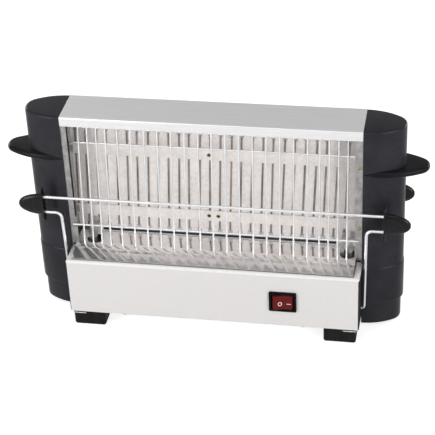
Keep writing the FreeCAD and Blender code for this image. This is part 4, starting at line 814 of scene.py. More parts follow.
def mesh_piece(name, vertices, faces, smooth_below=40):
    """Mesh object, shaded smooth except across edges sharper than an angle in degrees."""
    mesh = bpy.data.meshes.new(name)
    mesh.from_pydata([tuple(point) for point in vertices], [], faces)
    solid = bmesh.new()
    solid.from_mesh(mesh)
    bmesh.ops.recalc_face_normals(solid, faces=solid.faces)
    limit = math.radians(smooth_below)
    for face in solid.faces:
        face.smooth = True
    for edge in solid.edges:
        edge.smooth = len(edge.link_faces) == 2 and edge.calc_face_angle() < limit
    solid.to_mesh(mesh)
    solid.free()
    piece = bpy.data.objects.new(name, mesh)
    bpy.context.scene.collection.objects.link(piece)
    return piece


def skin(rings, closed=False):
    """All points of rings of like length, and the faces between them; closed joins the last to the first."""
    count = len(rings[0])
    faces = []
    for i in range(len(rings) if closed else len(rings) - 1):
        after = (i + 1) % len(rings)
        for j in range(count):
            k = (j + 1) % count
            faces.append((i * count + j, i * count + k, after * count + k, after * count + j))
    return [point for ring in rings for point in ring], faces


def lofted(name, rings, smooth_below):
    """Closed solid through rings with the same number of points."""
    count = len(rings[0])
    vertices, faces = skin(rings)
    faces.append(tuple(range(count))[::-1])
    faces.append(tuple((len(rings) - 1) * count + j for j in range(count)))
    return mesh_piece(name, vertices, faces, smooth_below)


def rounded_route(corners, radii):
    """Points of straight runs with an arc at each inner corner."""
    points = [corners[0]]
    for before, corner, after, radius in zip(corners, corners[1:], corners[2:], radii):
        back = (before - corner).normalized()
        ahead = (after - corner).normalized()
        half = back.angle(ahead) / 2
        middle = (back + ahead).normalized()
        centre = corner + middle * (radius / math.sin(half))
        start = corner + back * (radius / math.tan(half)) - centre
        end = corner + ahead * (radius / math.tan(half)) - centre
        turn = start.angle(end)
        steps = max(2, round(ARC_STEPS * turn / (math.pi / 2)))
        for i in range(steps + 1):
            t = i / steps
            way = (start * math.sin((1 - t) * turn) + end * math.sin(t * turn)) / math.sin(turn)
            points.append(centre + way)
    points.append(corners[-1])
    return points


def wires(name, routes, place=None):
    """Round wires as one curve: each route is its points and its diameter; place moves them all."""
    curve = bpy.data.curves.new(name, "CURVE")
    curve.dimensions = "3D"
    thickest = max(diameter for points, diameter in routes)
    curve.bevel_depth = thickest / 2
    curve.bevel_resolution = 3
    curve.use_fill_caps = True
    for points, diameter in routes:
        spline = curve.splines.new("POLY")
        spline.points.add(len(points) - 1)
        for target, point in zip(spline.points, points):
            where = place @ point if place else point
            target.co = (*where, 1)
            target.radius = diameter / thickest
        spline.use_smooth = True
    piece = bpy.data.objects.new(name, curve)
    bpy.context.scene.collection.objects.link(piece)
    return piece


def round_edges(piece, width, segments, sharper_than):
    """Bevel the edges that are sharper than an angle in degrees."""
    bevel = piece.modifiers.new("round", "BEVEL")
    bevel.width = width
    bevel.segments = segments
    bevel.limit_method = "ANGLE"
    bevel.angle_limit = math.radians(sharper_than)
    bevel.harden_normals = True


def soften(node, width, segments=3):
    """Round the sharp edges of a CAD node for the eye, with modifiers alone."""
    piece = frame["nodes"][node]
    weld = piece.modifiers.new("join", "WELD")
    weld.merge_threshold = 0.01 * MM
    round_edges(piece, width, segments, 35)


def oval_side(reach, half_y, nose_share):
    """Points of half an oval round its nose, from the front to the rear, as three arcs."""
    nose = nose_share * half_y ** 2 / reach
    nose_x = reach - nose
    side = (nose_x ** 2 + half_y ** 2 - nose ** 2) / (2 * (half_y - nose))
    lean = math.atan2(nose_x, side - half_y)
    side_steps, nose_steps = 8, 20
    front = []
    for i in range(side_steps):
        angle = lean * i / side_steps
        front.append((side * math.sin(angle), side - half_y - side * math.cos(angle)))
    points = list(front)
    for i in range(nose_steps + 1):
        angle = lean + (math.pi - 2 * lean) * i / nose_steps
        points.append((nose_x + nose * math.sin(angle), -nose * math.cos(angle)))
    points += [(x, -y) for x, y in front[::-1]]
    return points


def half_turn(piece):
    """Bake half a turn about the upright axis into a piece's mesh."""
    piece.data.transform(Matrix.Rotation(math.pi, 4, "Z"))


def arc_insets(radius, low, high, steps=6):
    """(offset along the arc's axis, inset) pairs of a quarter round between two angles in degrees."""
    pairs = []
    for i in range(steps + 1):
        angle = math.radians(low + (high - low) * i / steps)
        pairs.append((radius * math.sin(angle), radius * (1 - math.cos(angle))))
    return pairs


def rounded_oblong(half_x, half_y, corner, z, steps=6):
    """Points of a rounded rectangle at a height, against the clock."""
    points = []
    for sx, sy, start in ((1, 1, 0), (-1, 1, 90), (-1, -1, 180), (1, -1, 270)):
        for i in range(steps + 1):
            angle = math.radians(start + 90 * i / steps)
            points.append((sx * (half_x - corner) + corner * math.cos(angle),
                           sy * (half_y - corner) + corner * math.sin(angle), z))
    return points


def box_corners(low, high):
    """Corners and faces of a box, for cutters."""
    corners = [(x, y, z) for x in (low[0], high[0]) for y in (low[1], high[1]) for z in (low[2], high[2])]
    return corners, [(0, 1, 3, 2), (4, 6, 7, 5), (0, 4, 5, 1), (2, 3, 7, 6), (0, 2, 6, 4), (1, 5, 7, 3)]


def rod_cutter(name, start, end, radius, sides=24):
    """Plain rod between two points, as a cutter."""
    axis = (end - start).normalized()
    length = (end - start).length
    return turned_profile(name, [(0, radius), (length, radius)], start, axis, sides)


def cut_away(piece, cutters):
    """Cut cutters out of a piece, keep the result as plain mesh and drop the cutters."""
    bpy.context.view_layer.update()
    for cutter in cutters:
        cut = piece.modifiers.new(cutter.name, "BOOLEAN")
        cut.operation = "DIFFERENCE"
        cut.object = cutter
        cut.solver = "EXACT"
    graph = bpy.context.evaluated_depsgraph_get()
    result = bpy.data.meshes.new_from_object(piece.evaluated_get(graph))
    piece.modifiers.clear()
    piece.data = result
    for cutter in cutters:
        bpy.data.objects.remove(cutter)


def make_base(sizes, name):
    """Open sheet box with a rolled rim, a flange at the bottom, the switch window and its holes."""
    bottom, top = BASE_LOW[2], BASE_HIGH[2]
    under_rim, floor = top - sizes.rim, bottom + sizes.wall
    edge_in, edge_drop = 0.15 * MM, 0.06 * MM
    least_corner = 0.5 * MM
    profile = [(sizes.hem, bottom), (0, bottom + sizes.hem)]
    for rise, inset in arc_insets(sizes.roll, 0, 90, 8):
        profile.append((inset, top - sizes.roll + rise))
    profile += [(sizes.rim - edge_in, top - edge_drop), (sizes.rim, top - sizes.roll_end)]
    profile += [(sizes.rim, under_rim), (sizes.wall, under_rim), (sizes.wall, floor)]
    profile += [(sizes.flange, floor), (sizes.flange, bottom)]
    rings = []
    for inset, z in profile:
        across = inset + (sizes.end_rim - sizes.rim) * (sizes.roll < inset <= sizes.rim)
        corner = max(sizes.corner - inset, least_corner)
        rings.append(rounded_oblong(BASE_HIGH[0] - across, BASE_HIGH[1] - inset, corner, z))
    shell = mesh_piece(name, *skin(rings, closed=True), 35)
    cut_away(shell, [window_cutter(sizes), *end_cutters(sizes), bushing_cutter(sizes)])
    even_out(shell)
    return shell


def window_cutter(sizes):
    """Cutter for the switch window in the front wall."""
    pivot = PIVOTS["rocker_tilt"]
    half_x = sizes.window_half_length + sizes.window_gap
    half_z = sizes.window_half_height + sizes.window_gap
    low = (pivot.x - half_x, BASE_LOW[1] - PAST, pivot.z - half_z)
    high = (pivot.x + half_x, BASE_LOW[1] + 2 * PAST, pivot.z + half_z)
    return mesh_piece("window_cutter", *box_corners(low, high))


def end_cutters(sizes):
    """Cutters at both ends: the rim makes room for the end frame, and each holder's hook has a hole."""
    top = BASE_HIGH[2]
    frame_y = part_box("right_end_frame")[1][1] + sizes.frame_gap
    cutters = []
    for side in (1, -1):
        x0, x1 = sorted((side * (BASE_HIGH[0] - sizes.end_rim - PAST), side * (BASE_HIGH[0] - sizes.wall)))
        cutters.append(mesh_piece("frame_cutter", *box_corners((x0, -frame_y, top - sizes.rim - PAST),
                                                               (x1, frame_y, top + PAST))))
        for holder in ("front", "rear"):
            pivot = PIVOTS[holder + "_bail_swing"]
            start = Vector((side * (BASE_HIGH[0] - ROD_HALF), pivot.y, pivot.z))
            end = start + Vector((side * 2 * ROD_HALF, 0, 0))
            cutters.append(rod_cutter("hook_cutter", start, end, sizes.hook_hole))
    return cutters


def bushing_cutter(sizes):
    """Cutter for the bushing's hole in the rear wall."""
    low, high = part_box("cord_bushing")
    start = Vector(((low[0] + high[0]) / 2, BASE_HIGH[1] - ROD_HALF, (low[2] + high[2]) / 2))
    return rod_cutter("bushing_cutter", start, start + Vector((0, 2 * ROD_HALF, 0)), sizes.bushing_hole)


def even_out(piece):
    """Let large flat faces keep their shading next to small curved ones."""
    even = piece.modifiers.new("even", "WEIGHTED_NORMAL")
    even.keep_sharp = True


def make_plate(sizes, name):
    """Polished plate that falls towards the rim, with round tab holes and a slot for the card."""
    low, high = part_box("reflector_plate")

    def side(outer, top, fold):
        """Half a section, from the skirt's lower edge to the flat middle."""
        corners = [(outer, low[2]), (outer, top - sizes.fall), (sizes.flat, top), (0, top)]
        route = rounded_route([Vector((0, y, z)) for y, z in corners], [fold, sizes.bend])
        return [(point.y, point.z) for point in route[:-1]]

    over = side(high[1], high[2], sizes.fold)
    under = side(high[1] - sizes.sheet, high[2] - sizes.sheet, sizes.fold - sizes.sheet)
    outline = [(-y, z) for y, z in over] + over[::-1] + under + [(-y, z) for y, z in under[::-1]]
    rings = [[(x, y, z) for y, z in outline] for x in (low[0], high[0])]
    plate = lofted(name, rings, 20)
    tabs_low, tabs_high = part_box("terminal_tabs")
    cutters = []
    for x in (tabs_high[0] - sizes.right_step, tabs_low[0] + sizes.left_step):
        start = Vector((x, -sizes.tab_hole_back, high[2] - 2 * PAST))
        end = start + Vector((0, 0, 4 * PAST))
        cutters.append(rod_cutter("tab_cutter", start, end, sizes.tab_hole, sides=40))
    half = BODY_HIGH[0] - sizes.slot_inset
    cutters.append(mesh_piece("card_cutter", *box_corners((-half, -sizes.card_slot / 2, high[2] - 2 * PAST),
                                                          (half, sizes.card_slot / 2, high[2] + 2 * PAST))))
    cut_away(plate, cutters)
    for finish in ("polished_plate", "plate_edge"):
        plate.data.materials.append(FINISHES[finish])
    # Steep faces of the fold get the darker finish, a painted shadow line
    for face in plate.data.polygons:
        if abs(face.normal.y) > sizes.edge_lean:
            face.material_index = 1
    even_out(plate)
    return plate


def finish_base(sizes, shell):
    """Black as painted shade on the end walls apart from their rounded corners, and a whiter rim as a painted
    highlight.
    """
    for finish in ("end_black", "rim_enamel"):
        shell.data.materials.append(FINISHES[finish])
    for face in shell.data.polygons:
        # End walls: black as painted shade
        if abs(face.normal.x) > END_LEAN and abs(face.center.x) > BASE_HIGH[0] - sizes.dark_depth:
            face.material_index = 1
        # Rolled rim: whiter as a painted highlight
        if face.normal.z > RIM_LEAN and face.center.z > BASE_HIGH[2] - sizes.roll:
            face.material_index = 2


def make_foot_tab(sizes, foot):
    """Thin tab that shows between the base and the outer part of a foot."""
    low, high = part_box(foot)
    side = 1 if high[0] > 0 else -1
    front = 1 if high[1] > 0 else -1
    foot_end = high[0] if side > 0 else low[0]
    foot_face = high[1] if front > 0 else low[1]
    x0, x1 = sorted((foot_end + side * sizes.tab_out, foot_end - side * sizes.tab_length))
    y0, y1 = sorted((foot_face + front * sizes.tab_front, foot_face - front * sizes.tab_depth))
    middle = Vector(((x0 + x1) / 2, (y0 + y1) / 2, 0))
    top = high[2] - sizes.tab_drop
    bottom = top - sizes.tab_thick
    edge = sizes.tab_edge
    rings = []
    for z, inset in ((bottom, edge), (bottom + edge, 0), (top - edge, 0), (top, edge)):
        oblong = rounded_oblong((x1 - x0) / 2 - inset, (y1 - y0) / 2 - inset, sizes.tab_corner, z, 4)
        rings.append([middle + Vector(point) for point in oblong])
    return lofted(foot + "_tab", rings, 35)


def make_end_cap(sizes, name):
    """Moulded column with skirt and band, rounded at the top."""
    x0 = BODY_HIGH[0] + sizes.seat_gap
    half_y = BODY_HIGH[1]
    shoulder = math.acos(1 - sizes.band_swell / sizes.band_round)
    shoulder_rise = sizes.band_round * math.sin(shoulder)
    lean = math.degrees(shoulder)
    bottom, top = CAP_LOW[2], BODY_HIGH[2]
    profile = []
    for rise, inset in arc_insets(sizes.hem, -90, 0):
        profile.append((bottom + sizes.hem + rise, sizes.skirt_inset + inset))
    profile.append((sizes.band_low, sizes.skirt_inset))
    for rise, inset in arc_insets(sizes.band_round, -lean, 0):
        profile.append((sizes.band_low + shoulder_rise + rise, inset - sizes.band_swell))
    for rise, inset in arc_insets(sizes.band_round, 0, lean):
        profile.append((sizes.band_high - shoulder_rise + rise, inset - sizes.band_swell))
    for rise, inset in arc_insets(sizes.top_round, 0, 90):
        profile.append((top - sizes.top_round + rise, inset))
    rings = []
    for z, inset in profile:
        outline = oval_side(sizes.reach - inset, half_y - inset, sizes.nose)
        rings.append([(x0 + x, y, z) for x, y in outline])
    return lofted(name, rings, 35)


def make_handle(sizes, name):
    """Flat oval carrying handle with rounded edges."""
    x0 = BODY_HIGH[0] + sizes.handle_gap
    centre = BODY_HIGH[0] + sizes.handle_out
    reach = CAP_HIGH[0] - centre
    half_y = BODY_HIGH[1]
    radius = sizes.handle_round
    flat = sizes.handle_thick / 2 - radius
    profile = [(rise - flat, inset) for rise, inset in arc_insets(radius, -90, 0)]
    profile += [(rise + flat, inset) for rise, inset in arc_insets(radius, 0, 90)]
    rings = []
    for rise, inset in profile:
        outline = oval_side(reach - inset, half_y - inset, sizes.nose)
        ring = [(x0, -half_y + inset), *((centre + x, y) for x, y in outline), (x0, half_y - inset)]
        rings.append([(x, y, sizes.handle_height + rise) for x, y in ring])
    return lofted(name, rings, 35)


def upright_places(sizes):
    """Places of the upright wires, from left to right."""
    inner = [k * sizes.inner_pitch for k in range(-sizes.inner_half, sizes.inner_half + 1)]
    outer = [sizes.outer_start + k * sizes.outer_pitch for k in range(sizes.outer_count)]
    return [-x for x in outer[::-1]] + inner + outer


def make_grid(sizes, name, place=None):
    """Leaning grid: upright wires with a bend near the top, on two cross wires."""
    step = sizes.weld_share * (sizes.grid_wire + sizes.cross_wire) / 2
    weld_y = -sizes.weld_back - step

    def wire_y(z):
        """Place of the leaning wires at a height."""
        return weld_y + (z - sizes.weld_height) * math.tan(sizes.lean)

    foot, bend, top = GRID_LOW[2], sizes.bend_height, GRID_HIGH[2]
    top_y = wire_y(bend) + (top - bend) * math.tan(sizes.top_lean)
    corners = ((wire_y(foot), foot), (wire_y(bend), bend), (top_y, top))
    routes = []
    for x in upright_places(sizes):
        route = rounded_route([Vector((x, y, z)) for y, z in corners], [sizes.bend_round])
        routes.append((route, sizes.grid_wire))
    for y, z, half in ((-sizes.weld_back, sizes.weld_height, GRID_HIGH[0] - sizes.lower_inset),
                       (wire_y(sizes.upper_height) + step, sizes.upper_height, GRID_HIGH[0])):
        routes.append(([Vector((-half, y, z)), Vector((half, y, z))], sizes.cross_wire))
    return wires(name, routes, place)


def holder_place(sizes, side):
    """Matrix from a holder's upright pose about its pivot to its resting place."""
    low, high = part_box(side + "_bail")
    pivot = PIVOTS[side + "_bail_swing"]
    half_wire = sizes.bail_wire / 2
    lean = math.atan2(low[1] + half_wire - pivot.y, high[2] - half_wire - pivot.z)
    return Matrix.Translation(pivot) @ Matrix.Rotation(-lean, 4, "X")


def make_holder(sizes, name, place):
    """Swinging wire holder: hook, leg and loop at each end, and the long bar between the loops."""
    base_end = BASE_HIGH[0]
    upper = sizes.leg_height + sizes.loop_height
    half_loop = sizes.loop_height / 2
    corners = [Vector((base_end - sizes.hook_reach, 0, 0)), Vector((base_end + sizes.leg_foot, 0, 0)),
               Vector((base_end + sizes.leg_top, 0, sizes.leg_height)),
               Vector((sizes.loop_end, 0, sizes.leg_height))]
    right = rounded_route(corners, [sizes.hook_round, sizes.leg_round])
    for i in range(1, 2 * ARC_STEPS):
        angle = math.pi * i / (2 * ARC_STEPS)
        right.append(Vector((sizes.loop_end + half_loop * math.sin(angle), 0,
                             upper - half_loop - half_loop * math.cos(angle))))
    right.append(Vector((sizes.loop_end, 0, upper)))
    route = right + [Vector((-point.x, point.y, point.z)) for point in right[::-1]]
    return wires(name, [(route, sizes.bail_wire)], place)


def make_grip(sizes, wire, name, side, place):
    """Moulded grip on the loop of a holder: a rounded guard and a thick flat paddle."""
    middle = wire.leg_height + wire.loop_height / 2
    sides, steps = 32, 26

    def ring(x, half_y, half_z, power):
        """Points round an oval that a low power makes squarer."""
        points = []
        for i in range(sides):
            angle = 2 * math.pi * i / sides
            cos, sin = math.cos(angle), math.sin(angle)
            y = half_y * math.copysign(abs(cos) ** power, cos)
            z = half_z * math.copysign(abs(sin) ** power, sin)
            points.append(place @ Vector((side * x, y, middle + z)))
        return points

    inner, outer = sizes.guard_start, sizes.guard_start + sizes.guard_thick
    half_y, half_z = sizes.guard_depth / 2, sizes.guard_height / 2
    edge = sizes.guard_round
    halfway = 0.3 * edge
    rings = []
    for x, inset in ((inner, edge), (inner + halfway, halfway), (inner + edge, 0),
                     (outer - edge, 0), (outer - halfway, halfway), (outer, edge)):
        rings.append(ring(x, half_y - inset, half_z - inset, sizes.guard_power))
    guard = lofted(name + "_guard", rings, 50)
    rings = []
    for i in range(steps + 1):
        angle = math.pi / 2 * i / steps
        share = max(sizes.tip_share, math.cos(angle))
        half_y = sizes.thick / 2 * share ** sizes.thick_power
        half_z = sizes.height / 2 * share ** sizes.height_power
        rings.append(ring(outer + sizes.length * math.sin(angle), half_y, half_z, sizes.power))
    return guard, lofted(name + "_paddle", rings, 60)


def run_places(sizes):
    """Places of the ribbon at the card's top edge, slightly uneven as in hand winding."""
    return [sizes.first - k * sizes.pitch + sizes.unevenness * math.sin(sizes.unevenness_turn * k)
            for k in range(sizes.runs)]


def make_card(sizes, name):
    """Thin card with a notch at each turn of the ribbon."""
    bottom, top = CARD_LOW[2], CARD_HIGH[2]
    tops = run_places(sizes)

    def notch(x, edge, depth, way):
        """Outline of one notch, walked to the right or to the left."""
        before, after = x - way * sizes.notch_width / 2, x + way * sizes.notch_width / 2
        return [(before, edge), (before, edge + depth), (after, edge + depth), (after, edge)]

    outline = [(CARD_LOW[0], top), (CARD_LOW[0], bottom)]
    for x in sorted((a + b) / 2 for a, b in zip(tops, tops[1:])):
        outline += notch(x, bottom, sizes.notch_depth, 1)
    outline += [(CARD_HIGH[0], bottom), (CARD_HIGH[0], top)]
    for x in sorted(tops, reverse=True):
        outline += notch(x, top, -sizes.notch_depth, -1)
    rings = [[(x, y, z) for x, z in outline] for y in (CARD_LOW[1], CARD_HIGH[1])]
    return lofted(name, rings, 20)


def make_ribbon(sizes, name):
    """Flat heating ribbon wound up the rear and down the front of the card."""
    reach = CARD_HIGH[1] + sizes.ribbon_gap + sizes.ribbon_thick / 2
    bottom = CARD_LOW[2] + sizes.notch_depth
    top = CARD_HIGH[2] - sizes.notch_depth
    tops = run_places(sizes)
    feet = [tops[0] + sizes.pitch / 2]
    feet += [(a + b) / 2 for a, b in zip(tops, tops[1:])]
    feet.append(tops[-1] - sizes.pitch * sizes.last_share)
    path = []
    turn_steps = 6

    def fold(x, z, way):
        """Half a turn over a notch, as (point, outward direction) pairs."""
        for i in range(turn_steps + 1):
            angle = math.pi * i / turn_steps
            path.append((Vector((x, way * reach * math.cos(angle), z + way * reach * math.sin(angle))),
                         Vector((0, way * math.cos(angle), way * math.sin(angle)))))

    start_z = bottom + sizes.lead_in
    path.append((Vector((feet[0], reach, start_z)), Vector((0, 1, 0))))
    for k, x in enumerate(tops):
        fold(x, top, 1)
        if k < len(tops) - 1:
            fold(feet[k + 1], bottom, -1)
    path.append((Vector((feet[-1], -reach, start_z)), Vector((0, -1, 0))))
    half_x = Vector((sizes.ribbon_width / 2, 0, 0))
    half_thick = sizes.ribbon_thick / 2
    rings = [[point - half_x - out * half_thick, point + half_x - out * half_thick,
              point + half_x + out * half_thick, point - half_x + out * half_thick] for point, out in path]
    return lofted(name, rings, 30)


def turned_profile(name, profile, centre, axis, sides=28):
    """Solid of revolution: profile points are (distance along the axis, radius)."""
    across = axis.orthogonal().normalized()
    other = axis.cross(across)
    rings = []
    for along, radius in profile:
        ring = []
        for i in range(sides):
            angle = 2 * math.pi * i / sides
            out = across * math.cos(angle) + other * math.sin(angle)
            ring.append(centre + axis * along + out * radius)
        rings.append(ring)
    return lofted(name, rings, 35)


def cut_slot(head, centre, axis, tilt, width, depth, length):
    """Cut a screwdriver slot across a head."""
    across = Matrix.Rotation(tilt, 4, axis) @ axis.orthogonal().normalized()
    other = axis.cross(across)
    corners, faces = box_corners((-length / 2, -width / 2, -depth), (length / 2, width / 2, depth))
    placed = [centre + across * a + other * b + axis * c for a, b, c in corners]
    cut_away(head, [mesh_piece("slot_cutter", placed, faces)])


def make_screw_head(sizes, name, seat, axis, tilt):
    """Domed screw head with a slot."""
    radius, height = sizes.head, sizes.head_height
    past_edges = 1.2
    head = turned_profile(name, [(height * up, radius * out) for up, out in HEAD_DOME], seat, axis)
    cut_slot(head, seat + axis * height, axis, tilt, radius * sizes.slot_width, height * sizes.slot_depth,
             2 * radius * past_edges)
    return head


def make_eyelet(sizes, name, centre, axis):
    """Rolled eyelet head: a domed ring."""
    across = axis.orthogonal().normalized()
    other = axis.cross(across)
    sides, section = 28, 8
    middle = (sizes.eyelet + sizes.eyelet_inner) / 2
    half = (sizes.eyelet - sizes.eyelet_inner) / 2
    rings = []
    for i in range(sides):
        angle = 2 * math.pi * i / sides
        out = across * math.cos(angle) + other * math.sin(angle)
        ring = []
        for j in range(section):
            turn = 2 * math.pi * j / section
            rise = axis * (sizes.eyelet_height * math.sin(turn))
            ring.append(centre + out * (middle + half * math.cos(turn)) + rise)
        rings.append(ring)
    return mesh_piece(name, *skin(rings, closed=True), 60)


def rocker_point(sizes, x, y, z):
    """Point of the rocker's own space, brought to its tilted place."""
    return PIVOTS["rocker_tilt"] + Matrix.Rotation(sizes.throw, 3, "Z") @ Vector((x, y, z))


def dish_y(sizes, x):
    """Height of the face between the two ridges, as two gently curved slopes that meet in the middle."""
    return -sizes.face + sizes.dish * (1 - min(1, abs(x) / sizes.ridge) ** sizes.dish_power)


def make_rocker(sizes, name):
    """Rocker with two slopes that meet in the middle, a ridge at each end and ends that fall away."""
    half = sizes.length / 2
    steps = 12
    # Right end from the back to the face: a steep side, then a slope up to the ridge
    side_low, side_high, side_in = 0.6 * MM, 2.6 * MM, 0.3 * MM
    slope_in, slope_drop = 1.1 * MM, 0.9 * MM
    ends = [(half, -side_low), (half - side_in, -side_high), (half - slope_in, -sizes.face + slope_drop)]
    face = [sizes.ridge * (2 * i / steps - 1) for i in range(steps + 1)]
    outline = [(-x, y) for x, y in ends]
    outline += [(x, dish_y(sizes, x)) for x in face]
    outline += [*ends[::-1], (sizes.back, 0), (-sizes.back, 0)]
    rings = [[rocker_point(sizes, x, y, side * sizes.height / 2) for x, y in outline] for side in (-1, 1)]
    rocker = lofted(name, rings, 28)
    round_edges(rocker, sizes.edge_round, 3, 40)
    return rocker


def mark_strip(sizes, name, pairs, closed=False):
    """Flat strip on the rocker's face, between pairs of points on its two edges."""
    vertices = []
    for x, z in [point for pair in pairs for point in pair]:
        vertices.append(rocker_point(sizes, x, dish_y(sizes, x) - sizes.mark_lift, z - sizes.mark_drop))
    count = len(pairs)
    faces = []
    for i in range(count if closed else count - 1):
        j = (i + 1) % count
        faces.append((2 * i, 2 * i + 1, 2 * j + 1, 2 * j))
    return mesh_piece(name, vertices, faces)


def make_marks(sizes):
    """Ring and bar filled into the rocker's face."""
    half_line = sizes.mark_line / 2
    edges = (sizes.mark_size - half_line, sizes.mark_size + half_line)
    sides, steps = 32, 8
    ring = []
    for i in range(sides):
        angle = 2 * math.pi * i / sides
        across, up = math.cos(angle), sizes.mark_stretch * math.sin(angle)
        ring.append([(sizes.off_place + radius * across, radius * up) for radius in edges])
    bar = []
    for i in range(steps + 1):
        x = sizes.on_place + sizes.bar_half * (2 * i / steps - 1)
        bar.append([(x, -half_line), (x, half_line)])
    return mark_strip(sizes, "off_mark", ring, closed=True), mark_strip(sizes, "on_mark", bar)


# Operators

def dress(node, slot):
    """Give a CAD node its finish."""
    piece = frame["nodes"][node]
    piece.data.materials.clear()
    piece.data.materials.append(FINISHES[slot])


class TOASTER_OT_sheet_metal(bpy.types.Operator):
    """Finish the sheet metal body, the small metal parts and the feet"""
    bl_idname = "toaster.sheet_metal"
    bl_label = "Sheet metal and feet"

    def execute(self, context):
        make_finishes(context.scene.toaster_colours)
        for part in frame["record"]["subparts"]:
            dress(part["node"], part["material_slot"])
        for end in ("right", "left"):
            dress(end + "_end_frame", "frame_steel")
        dress("tab_rivets", "zinc_steel")
        soften("top_cover", COVER_ROUND)
        soften("switch_housing", SWITCH_ROUND)
        for foot in FEET:
            soften(foot, FOOT_ROUND, segments=4)
        return {"FINISHED"}


class TOASTER_OT_base(bpy.types.Operator):
    """Fold the base with its rolled rim and the polished plate, and fit the tabs over the feet"""
    bl_idname = "toaster.base"
    bl_label = "Base and plate"

    def execute(self, context):
        sizes = context.scene.toaster_base
        shell = place_piece(make_base(sizes, "folded_base"), "housing", "base_enamel")
        finish_base(sizes, shell)
        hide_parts("base_shell")
        for foot in FEET:
            place_piece(make_foot_tab(sizes, foot), "housing", "zinc_steel")
        plate = make_plate(context.scene.toaster_plate, "rolled_plate")
        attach(plate, "housing")
        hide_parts("reflector_plate")
        return {"FINISHED"}


class TOASTER_OT_end_caps(bpy.types.Operator):
    """Mould the end caps with their carrying handles"""
    bl_idname = "toaster.end_caps"
    bl_label = "End caps"

    def execute(self, context):
        sizes = context.scene.toaster_caps
        for end in ("right", "left"):
            cap = make_end_cap(sizes, end + "_cap_shell")
            handle = make_handle(sizes, end + "_carrying_handle")
            if end == "left":
                half_turn(cap)
                half_turn(handle)
            place_piece(cap, "housing", "black_cap")
            # The handles' darker finish is painted shade
            place_piece(handle, "housing", "black_cap", "black_handle")
            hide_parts(end + "_end_cap")
        return {"FINISHED"}


class TOASTER_OT_wire_grids(bpy.types.Operator):
    """Weld the wire grids in front of and behind the heating card"""
    bl_idname = "toaster.wire_grids"
    bl_label = "Wire grids"

    def execute(self, context):
        sizes = context.scene.toaster_wires
        front = make_grid(sizes, "front_guard_wires")
        rear = make_grid(sizes, "rear_guard_wires", Matrix.Rotation(math.pi, 4, "Z"))
        for piece, node in ((front, "front_grid"), (rear, "rear_grid")):
            place_piece(piece, "housing", "chrome_wire")
            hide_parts(node)
        return {"FINISHED"}


class TOASTER_OT_holders(bpy.types.Operator):
    """Bend the swinging wire holders and mould their grips"""
    bl_idname = "toaster.holders"
    bl_label = "Swinging holders"

    def execute(self, context):
        scene = context.scene
        for side in ("front", "rear"):
            body = side + "_bail_body"
            place = holder_place(scene.toaster_wires, side)
            wire = make_holder(scene.toaster_wires, side + "_holder_wire", place)
            place_piece(wire, body, "chrome_wire")
            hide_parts(side + "_bail")
            for end, sign in (("right", 1), ("left", -1)):
                name = side + "_" + end + "_grip"
                for piece in make_grip(scene.toaster_grips, scene.toaster_wires, name, sign, place):
                    place_piece(piece, body, "gloss_grip")
                    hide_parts(side + "_grips")
        return {"FINISHED"}


class TOASTER_OT_heating_card(bpy.types.Operator):
    """Cut the notched card and wind the heating ribbon round it"""
    bl_idname = "toaster.heating_card"
    bl_label = "Heating card"

    def execute(self, context):
        sizes = context.scene.toaster_element
        card = place_piece(make_card(sizes, "notched_card"), "housing", "mica")
        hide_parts("mica_card")
        ribbon = place_piece(make_ribbon(sizes, "wound_ribbon"), "housing", "heating_alloy")
        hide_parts("heating_wire")
        return {"FINISHED"}


class TOASTER_OT_fasteners(bpy.types.Operator):
    """Turn the brass screws, eyelets and rivets"""
    bl_idname = "toaster.fasteners"
    bl_label = "Fasteners"

    def execute(self, context):
        sizes = context.scene.toaster_fasteners
        low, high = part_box("frame_screws")
        levels = ((low[2] + sizes.head, sizes.low_turn), (high[2] - sizes.head, sizes.high_turn))
        eyelets = (("upper", sizes.upper_eyelet), ("lower", sizes.left_rivet), ("lower", sizes.right_rivet))
        flange_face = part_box("right_end_frame")[0][1]
        for face, side in (("front", 1), ("rear", -1)):
            axis = Vector((0, -side, 0))
            for number, (z, turn) in enumerate(levels, 1):
                seat = Vector((side * (high[0] - sizes.head), side * flange_face, z))
                screw = make_screw_head(sizes, "flange_screw_%s_%d" % (face, number), seat, axis, turn)
                place_piece(screw, "housing", "brass")
                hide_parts("frame_screws")
        for number, (strip, x) in enumerate(eyelets, 1):
            strip_low, strip_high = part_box("front_%s_strip" % strip)
            for face, side in (("front", 1), ("rear", -1)):
                axis = Vector((0, -side, 0))
                centre = Vector((x, side * strip_low[1], (strip_low[2] + strip_high[2]) / 2))
                name = "eyelet_%d_%s" % (number, face)
                eyelet = place_piece(make_eyelet(sizes, name, centre, axis), "housing", "brass")
                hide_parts("strip_eyelets")
                # The black disc in the bore is painted shade
                profile = [(0, sizes.bore), (sizes.bore_height, sizes.bore_face)]
                bore = turned_profile(name + "_bore", profile, centre, axis)
                place_piece(bore, "housing", "brass", "end_black")
        return {"FINISHED"}


class TOASTER_OT_rocker(bpy.types.Operator):
    """Mould the rocker of the switch and fill its marks"""
    bl_idname = "toaster.rocker"
    bl_label = "Switch rocker"

    def execute(self, context):
        sizes = context.scene.toaster_rocker
        rocker = place_piece(make_rocker(sizes, "rocker_face"), "rocker", "switch_red")
        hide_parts("switch_rocker")
        for mark in make_marks(sizes):
            place_piece(mark, "rocker", "switch_red", "mark_paint")
        return {"FINISHED"}


